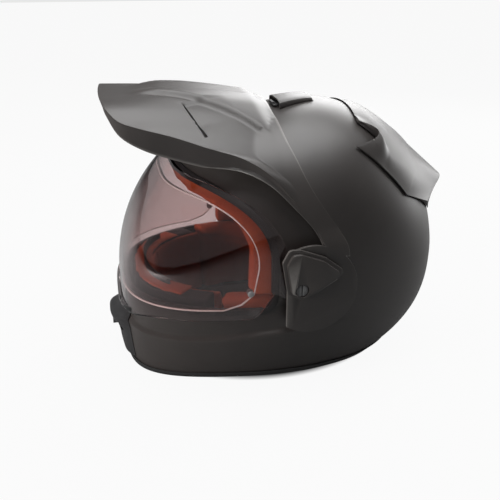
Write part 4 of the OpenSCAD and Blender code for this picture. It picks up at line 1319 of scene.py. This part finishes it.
def sew(piece, line, depth, reach):
    """Presses a sewn channel: points near line(co) == 0, in millimetres, sink against their normals."""
    normals = [v.normal.copy() for v in piece.data.vertices]
    for vert, n in zip(piece.data.vertices, normals):
        off = abs(line(vert.co / MM))
        if off < reach:
            vert.co -= n * depth * MM * (1 - off / reach) ** 2
    return piece


# %% Crown pad
crown = lined("crown_comfort_pad", tuple(c + 1.7 for c in CAVITY), tuple(c + 7 for c in CAVITY),
              lambda a: mix(106, 52, ease(116, 134, fold(a))), 3, 72, 30)
puff(crown, 4.5, 1.0)
for line in (lambda p: abs(p.x) - 26, lambda p: p.y - 46, lambda p: p.y + 8):
    sew(crown, line, 2, 4)
finish_piece(crown, rust, "crown_pad")

# %% Brow band
band = lined("brow_padding", every(WALL + 4.8), every(WALL + 24), lambda a: 98, None)
band_line = ([(PORT_REAR - 18, 90), (PORT_REAR + 2.8, 90)] + port_upper(2.8, 32)
             + [(AHEAD, PORT_TOP + 2.8), (AHEAD, PORT_TOP - 14)]
             + list(reversed(side_arc(PORT_REAR - ARC_Y - 18, PORT_TOP - ARC_Z - 14, 0, 90, 32))))
boolean(band, prism(band_line), "INTERSECT")
puff(band, 3.2, 0.8)
finish_piece(band, rust, "brow_band")

# %% Cheek pads
CHEEK_A0, CHEEK_A1, CHEEK_LOW, CHEEK_HIGH = 63.5, 116.5, 22, 96


def cheek_block():
    bm = wall_block(every(11.8), every(WALL + 24), CHEEK_A0, CHEEK_A1, CHEEK_LOW, CHEEK_HIGH, 26, 34)
    for vert in bm.verts:
        p = vert.co / MM
        q = (p.z - CHEEK_LOW) / (CHEEK_HIGH - CHEEK_LOW)
        k = (math.degrees(math.atan2(p.x, -(p.y - PLAN_Y))) - CHEEK_A0) / (CHEEK_A1 - CHEEK_A0)
        if outside(p, every(WALL + 18)) < 0:
            inwards = (CORE - Vector((0, 0, 30)) - p).normalized()
            vert.co += inwards * 10 * MM * max(0, sin(180 * q)) * max(0, sin(180 * min(1, max(0, k))))
    return bm


for side, s in (("left", 1), ("right", -1)):
    bm = cheek_block()
    bmesh.ops.scale(bm, vec=(s, 1, 1), verts=bm.verts)
    pad = keep(face_out(bm), "cheek_padding_" + side)
    puff(pad, 4.5, 1.5)
    sew(pad, lambda p: p.z - 74 + 0.2 * p.y, 2.2, 4)
    finish_piece(pad, rust, "cheek_pad_" + side)

# %% Chin lining
chin_cloth = keep(wall_block(every(WALL + 24.2), every(WALL + 28), -61, 61, 26, 92, 60, 24), "chin_cloth")
puff(chin_cloth, 2.6, 0.4)
for line in (lambda p: abs(p.x) - 30, lambda p: p.z - 58):
    sew(chin_cloth, line, 1.6, 3)
finish_piece(chin_cloth, rust, like="brow_band")
chin_top = keep(wall_block(every(WALL + 7), every(WALL + 27), -46, 46, 93.3, 96, 60, 4), "chin_top_cloth")
puff(chin_top, 2.6, 0.2)
finish_piece(chin_top, rust, like="brow_band")

# %% Neck roll
ROLL_LOW, ROLL_HIGH = 1.5, 38


def roll_face(depth):
    """One face of the roll behind the neck, which hangs straight down below the shell's rim."""
    def place(u, q):
        z = mix(ROLL_LOW, ROLL_HIGH, q)
        p = shell_pt(mix(128, 232, u), max(13, z), every(depth))
        p.z = z
        return p
    return place


roll = puff(keep(between_sheets(roll_face(7.4), roll_face(WALL + 20.5), 44, 16), "neck_padding"), 4, 1.2, 0)
sew(roll, lambda p: p.z - 30, 1.6, 3.5)
finish_piece(roll, black_cloth, "neck_roll")

# %% [markdown]
# ## Straps and breath guard
# The straps are flat webbing, too thin to blow up as a pad, so the merged copy of the solid gets the
# woven finish. The breath guard is a thin rubber flap along the top of the chin foam.

# %% Straps and guard
for side in ("left", "right"):
    strap = copy_of("chin_strap_" + side, "strap_" + side)
    finish_piece(strap, webbing, "chin_strap_" + side)
guard = keep(wall_block(every(WALL + 17), every(WALL + 19), -34, 34, 93.4, 104, 36, 8), "breath_flap")
for vert in guard.data.vertices:
    p = vert.co / MM
    if p.z > 94:
        vert.co.z -= 8 * MM * (p.x / 92) ** 2 * (p.z - 93.4) / 10.6
finish_piece(smooth(soften(guard, 0.4, 45)), rubber, "breath_guard")
